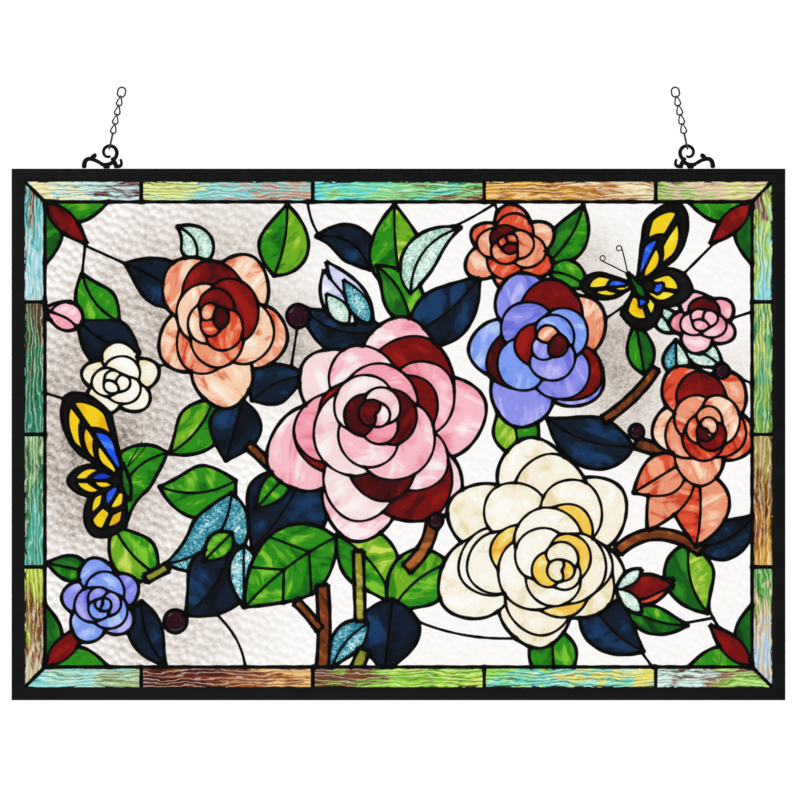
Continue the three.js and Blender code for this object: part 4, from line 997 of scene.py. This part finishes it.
# Seams run wherever two pieces of glass meet, and along the clear glass's own lines
names_a = np.array([pattern[number][0] for number in top[pair_a]])
names_b = np.array([pattern[number][0] for number in top[pair_b]])
meets = (cell[pair_a] != cell[pair_b]) | on_seam
thin = (names_a == names_b) & ~np.char.startswith(names_a, "border")
neighbours = {}
for (a, b), is_thin in zip(pair_ends[meets], thin[meets]):
    neighbours.setdefault(int(a), {})[int(b)] = bool(is_thin)
    neighbours.setdefault(int(b), {})[int(a)] = bool(is_thin)
in_field = (np.abs(points) < np.array([field_width, field_height]) / 2 - 1).all(1)
loose = [vertex for vertex, others in neighbours.items() if len(others) == 1 and in_field[vertex]]
while loose:
    vertex = loose.pop()
    for other in neighbours.pop(vertex, {}):
        del neighbours[other][vertex]
        if len(neighbours[other]) < 2:
            loose.append(other)
walked = set()
runs = []
ends_first = sorted(neighbours, key=lambda vertex: len(neighbours[vertex]) == 2)
for start in ends_first:
    for step in neighbours[start]:
        if (start, step) in walked:
            continue
        run = [start, step]
        while len(neighbours[run[-1]]) == 2 and run[-1] != start:
            before, after = run[-2], neighbours[run[-1]]
            run.append(next(vertex for vertex in after if vertex != before))
        walked.update(zip(run, run[1:]))
        walked.update(zip(run[1:], run))
        along = np.diff(points[run], axis=0)
        along /= np.maximum(np.hypot(*along.T), 1e-9)[:, None]
        corners = np.flatnonzero((along[1:] * along[:-1]).sum(1) < math.cos(math.radians(38))) + 1
        bounds = [0, *corners.tolist(), len(run) - 1]
        runs += [run[a:b + 1] for a, b in zip(bounds, bounds[1:])]

beads = []
middle_height = panel_middle / mm
for run in runs:
    line = points[run]
    gaps = np.hypot(*np.diff(line, axis=0).T)
    reach = np.concatenate([[0], np.cumsum(gaps)])
    steps = max(3, int(reach[-1] / bead_step) + 1)
    at = np.linspace(0, reach[-1], steps)
    line = np.stack([np.interp(at, reach, line[:, 0]), np.interp(at, reach, line[:, 1])], 1)
    for _ in range(2):
        line[1:-1] = (line[:-2] + 2 * line[1:-1] + line[2:]) / 4
    is_thin = sum(neighbours[a][b] for a, b in zip(run, run[1:])) * 2 > len(run) - 1
    base = flower_half_width if is_thin else seam_half_width
    phase = rng.uniform(0, 6.28, 3)
    wave = np.sin(at / 5 + phase[0]) + np.sin(at / 11 + phase[1]) + np.sin(at / 2.7 + phase[2])
    flare = np.exp(-(at / 3) ** 2) + np.exp(-((reach[-1] - at) / 3) ** 2)
    widths = base * (1 + 0.06 * wave + 0.4 * flare)
    depths = bead_half_depth * (0.92 + 0.02 * wave + 0.06 * np.minimum(flare, 1))
    beads.append(bead(line + [0, middle_height], widths, depths))
for vertex, others in neighbours.items():
    if len(others) != 2:
        size = 1.35 * (flower_half_width if all(others.values()) else seam_half_width)
        blob = np.linspace(0, np.pi, 5)
        verts, faces = lathe(np.stack([size * np.sin(blob), -0.98 * bead_half_depth * np.cos(blob)], 1), 8)
        beads.append((verts + [points[vertex][0], 0, points[vertex][1] + middle_height],
                      [f[::-1] for f in faces]))
patina = patina_metal("black_patina_solder", "#0C0C0E", "#1E1C1C", 0.7, 0.28, 0.5, 6, 0.35)
verts, faces = gather(beads)
solid_object("solder_seams", verts, faces, patina, ["solder_lines"])

# Antennae
# Thin tinned wires soldered to the butterflies' heads, laid over the glass in front. The right one's are
# curled.
wire_half = 0.75
wires = []
curl = np.linspace(0, 5.6, 16)
for guides, loop in [
    ([(228, 160), (226, 172), (222, 186)], (2.6, 1)), ([(228, 160), (216, 166), (202, 173)], (2.6, -1)),
    ([(-270, -32), (-262, -18), (-255, -6)], None), ([(-270, -32), (-258, -22), (-249, -8)], None),
]:
    line = smooth_line(guides, 14)
    if loop:
        size, way = loop
        heading = line[-1] - line[-2]
        heading = math.atan2(heading[1], heading[0])
        centre = line[-1] + size * np.array([-math.sin(heading), math.cos(heading)]) * way
        angle = heading - way * math.pi / 2 + way * curl[1:]
        line = np.concatenate([line, centre + size * np.stack([np.cos(angle), np.sin(angle)], 1)])
    line = on_sheet(line) + [0, middle_height]
    taper = wire_half * np.linspace(1.1, 0.8, len(line))
    wires.append(bead(line, taper, taper, depth=-2.7, sides=8, power=1.0))
verts, faces = gather(wires)
solid_object("antennae", verts, faces, patina)

# Channel frame
# Four lengths of rolled metal channel, mitred and soldered at the corners and painted satin black. Each takes
# the panel's edge in a slot. The long edges are slightly rounded, and the faces are a little uneven from the
# rolling.
channel_wall, slot_half = 1.6, 2.8
channel_half_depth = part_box("frame_top")[1].y / mm
mitre_gap = 0.02
paint = patina_metal("satin_black_paint", "#040506", "#0A0B0E", 0.0, 0.4, 0.55, 22, 0.15)


def rounded(profile, radii, steps=4):
    """A closed profile with its corners rounded: each is replaced by a quadratic curve between its two
    tangents."""
    profile = np.asarray(profile, float)
    before, after = np.roll(profile, 1, 0), np.roll(profile, -1, 0)
    points = []
    for last, corner, following, radius in zip(before, profile, after, radii):
        start = corner + (last - corner) / np.hypot(*(last - corner)) * radius
        end = corner + (following - corner) / np.hypot(*(following - corner)) * radius
        share = np.linspace(0, 1, steps)[:, None]
        points.append((1 - share) ** 2 * start + 2 * share * (1 - share) * corner + share ** 2 * end)
    return np.concatenate(points)


def channel(name, length, across, turn):
    """A length of channel along the panel's edge. Each point of its section is drawn out to the mitre at both
    ends, and the faces wander by up to 0.06 mm in slow waves."""
    deep = channel_half_depth
    section = rounded(
        [(0, -deep), (channel_face, -deep), (channel_face, -slot_half), (channel_wall, -slot_half),
         (channel_wall, slot_half), (channel_face, slot_half), (channel_face, deep), (0, deep)],
        [0.9, 0.7, 0.5, 0.3, 0.3, 0.5, 0.7, 0.9])
    inward, y = section.T
    share = np.linspace(-1, 1, 61)[:, None]
    x = share * (length / 2 - inward - mitre_gap)
    wave = 0.03 * (1 + np.sin(x / 19 + turn) * np.sin(x / 53 + inward / 9))
    depth = y * (1 - wave / deep)
    height = np.broadcast_to(across / 2 - inward, x.shape)
    rows, count = x.shape
    verts = np.stack([x, depth, height], 2).reshape(-1, 3)
    i = np.arange(rows - 1)[:, None] * count
    k = np.arange(count)
    ahead = (k + 1) % count
    quads = np.stack([i + k, i + ahead, i + count + ahead, i + count + k], 2).reshape(-1, 4)
    caps = [k[::-1], k + (rows - 1) * count]
    cos, sin = round(math.cos(turn * math.pi / 2)), round(math.sin(turn * math.pi / 2))
    spun = np.stack([verts[:, 0] * cos - verts[:, 2] * sin, verts[:, 1],
                     verts[:, 0] * sin + verts[:, 2] * cos], 1)
    made = solid_object(name + "_channel", spun + [0, 0, middle_height], [*quads, *caps], paint,
                        [name])
    return made


channel("frame_top", panel_width, panel_height, 0)
channel("frame_left", panel_height, panel_width, 1)
channel("frame_bottom", panel_width, panel_height, 2)
channel("frame_right", panel_height, panel_width, 3)

# Hooks
# Cast metal scrolls on the frame's top edge, painted black: a curl that holds the chain, a bowed bar with a
# small curl, and a foot. The bars are round and thin out towards their free ends.
hook_inset = 101.5
hook_height = frame_high.z / mm + 0.3
bar_half = 2.3
hook_half_depth = 1.5
curl_share = np.linspace(0, 1, 40)
curl_angle = np.radians(-62 + 350 * curl_share)
curl_radius = 7.2 * (1.12 - 0.62 * curl_share ** 2.2)
hook_lines = [
    (np.stack([1 + curl_radius * np.cos(curl_angle), 16.5 + curl_radius * np.sin(curl_angle)], 1), 0.95, 0.6),
    (smooth_line([(4, 11), (7.5, 5), (8.5, 1)], 12), 1.0, 1.1),
    (smooth_line([(-25.5, 1), (-26, 15), (-15, 10.5), (-6, 4)], 24), 1.15, 0.8),
    (smooth_line([(-7.5, 4.6), (0, 2.5), (4, 6), (6.5, 8.5)], 16), 0.9, 1.0),
    (smooth_line([(-17.5, 9), (-18, 13.5), (-13, 13.8)], 12), 0.7, 1.1),
    (smooth_line([(7, 3), (13, 0.5), (15.5, 4.5), (12.5, 9.8)], 20), 1.0, 0.6),
    (smooth_line([(-5, 2.2), (1, 2.2)], 6), 1.1, 1.1),
]
casting = patina_metal("black_cast_scroll", "#08080A", "#17161A", 0.3, 0.35, 0.55, 5, 0.5)
hook_x = panel_width / 2 - hook_inset
for side, name in ((-1, "hook_left"), (1, "hook_right")):
    bars = []
    for line, first, last in hook_lines:
        placed = line * [-side, 1] + [side * hook_x, hook_height]
        size = np.linspace(first, last, len(line))
        bars.append(bead(placed, bar_half * size, np.full(len(line), hook_half_depth) * np.minimum(size, 1),
                         sides=12))
    verts, faces = gather(bars)
    verts[:, 2] = np.maximum(verts[:, 2], hook_height)
    solid_object(name + "_scroll", verts, faces, casting, [name])

# Chains
# Blackened steel chain, one each side: a long first link in the hook's curl, then short oval links with a
# quarter twist each, so that all of them lie the same way, and a flat ring at the top that goes over a nail.
chain_lean, wire, wire_extra = 15, 1.4, 0.4
links_above_first = 5
first_link = (18.0, 7.0)
blackened = patina_metal("blackened_steel", "#86818F", "#A6A1AE", 1.0, 0.3, 0.5, 4, 0.3)


def oval_link(length, width, low_turn, high_turn):
    """A link along +X: a circle drawn apart into an oval, and its round wire swept along it. It is turned
    about X, evenly from the one angle at its low end to the other at its high end."""
    angle = np.arange(40) / 40 * 2 * np.pi
    stretch = (length - width) / 2 - 0.1
    width = width - wire_extra
    middle = np.stack([width / 2 * np.cos(angle) + np.sign(np.cos(angle)) * stretch * np.minimum(
        1, np.abs(np.cos(angle)) * 12), width / 2 * np.sin(angle), 0 * angle], 1)
    out = np.stack([np.cos(angle), np.sin(angle), 0 * angle], 1)
    around = np.arange(10) / 10 * 2 * np.pi
    verts = middle[:, None] + (wire + wire_extra) / 2 * (
        np.cos(around)[None, :, None] * out[:, None] + np.sin(around)[None, :, None] * np.array([0, 0, 1]))
    lean = low_turn + (high_turn - low_turn) * (verts[:, :, 0] / length + 0.5)
    y, z = verts[:, :, 1].copy(), verts[:, :, 2].copy()
    verts[:, :, 1] = y * np.cos(lean) - z * np.sin(lean)
    verts[:, :, 2] = y * np.sin(lean) + z * np.cos(lean)
    i = np.arange(40)[:, None] * 10
    on = (np.arange(40)[:, None] + 1) % 40 * 10
    k = np.arange(10)
    ahead = (k + 1) % 10
    faces = np.stack([i + k, on + k, on + ahead, i + ahead], 2).reshape(-1, 4)
    return verts.reshape(-1, 3), [*faces]


for side, name in ((-1, "left"), (1, "right")):
    low = np.array([side * (hook_x - 1), 0, hook_height + 16.5 + 7.2 - 1.9 - 0.9 - wire / 2])
    high = np.array([side * (hook_x - chain_lean), 0, wire / 2])
    total = np.hypot(*(high - low)[[0, 2]])
    direction = (high - low) / total
    bite, end_bite = wire - 0.25, wire + 0.3
    link_length = (total - first_link[0] + (links_above_first - 1) * bite + end_bite) / links_above_first
    start, length, width = 0.0, *first_link
    links = []
    for i in range(links_above_first + 1):
        low_turn, high_turn = (math.pi / 2 if i > 0 else 0.0), (math.pi / 2 if i == links_above_first
                                                                else 0.0)
        verts, link_faces = oval_link(length, width, low_turn, high_turn)
        middle = low + direction * (start + length / 2)
        across = np.array([-direction[2], 0, direction[0]])
        verts = middle + verts[:, :1] * direction + verts[:, 1:2] * [0, 1, 0] + verts[:, 2:] * across
        links.append((verts, link_faces))
        start += length - (end_bite if i + 1 == links_above_first else bite)
        length, width = link_length, 8.6 if i + 1 == links_above_first else 7.0
    end_verts, end_faces = links.pop()
    verts, faces = gather(links)
    solid_object("chain_" + name + "_links", verts, faces, blackened, ["chain_" + name])
    solid_object("end_link_" + name + "_ring", end_verts, end_faces, blackened,
                 ["end_link_" + name])

# Floor, light and camera
# A pale studio floor under the panel, a bright wall of light behind it that falls off to grey at its sides,
# as behind a panel that hangs in front of a light box, and a soft lamp at the front left for the metal. What
# the glass and metal mirror is dimmer, as in a darkened studio.
disc = np.linspace(0, 2 * np.pi, 65)[:-1]
floor_mesh = bpy.data.meshes.new("floor")
floor_mesh.from_pydata(np.stack([0.5 * np.cos(disc), 0.5 * np.sin(disc), np.full(64, -0.85)], 1).tolist(), [],
                       [list(range(64))])
floor = bpy.data.objects.new("floor", floor_mesh)
bpy.context.scene.collection.objects.link(floor)
pale, pale_shader = surface("floor_paint", {"Base Color": linear("#E4E4E2"), "Roughness": 0.7})
floor_mesh.materials.append(pale)
floor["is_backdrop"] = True

world = bpy.data.worlds.new("light_wall")
world.use_nodes = True
bpy.context.scene.world = world
direction = node(world, "ShaderNodeTexCoord").outputs["Generated"]
split = node(world, "ShaderNodeSeparateXYZ", {"Vector": direction})
behind = node(world, "ShaderNodeMapRange", {"Value": split.outputs["Y"], "From Min": 0.86, "From Max": 0.985,
                                            "To Min": 0.85, "To Max": 1.06}, interpolation_type="SMOOTHSTEP")
ray = node(world, "ShaderNodeLightPath").outputs
mirrored = node(world, "ShaderNodeMath", {0: ray["Is Glossy Ray"], 1: ray["Is Reflection Ray"]},
                operation="MULTIPLY").outputs[0]
dimmed = node(world, "ShaderNodeMapRange", {"Value": mirrored, "To Min": 1.0, "To Max": 0.12})
level = node(world, "ShaderNodeMath", {0: behind.outputs["Result"], 1: dimmed.outputs["Result"]},
             operation="MULTIPLY")
background = world.node_tree.nodes["Background"]
background.inputs["Color"].default_value = (1, 1, 1, 1)
world.node_tree.links.new(level.outputs[0], background.inputs["Strength"])

lamp_data = bpy.data.lights.new("front_lamp", "AREA")
lamp_data.size, lamp_data.energy = 1.2, 6
lamp = bpy.data.objects.new("front_lamp", lamp_data)
lamp.location, lamp.rotation_euler = (-1.6, -2.2, 1.0), (math.radians(62), 0, math.radians(-36))
bpy.context.scene.collection.objects.link(lamp)

camera_data = bpy.data.cameras.new("camera")
camera_data.sensor_width, camera_data.lens = 36, 214
camera = bpy.data.objects.new("camera", camera_data)
camera.location, camera.rotation_euler = (0.0016, -5, -0.3283), (math.pi / 2, 0, 0)
bpy.context.scene.collection.objects.link(camera)
bpy.context.scene.camera = camera
bpy.context.scene.view_settings.view_transform = "Standard"

low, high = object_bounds()
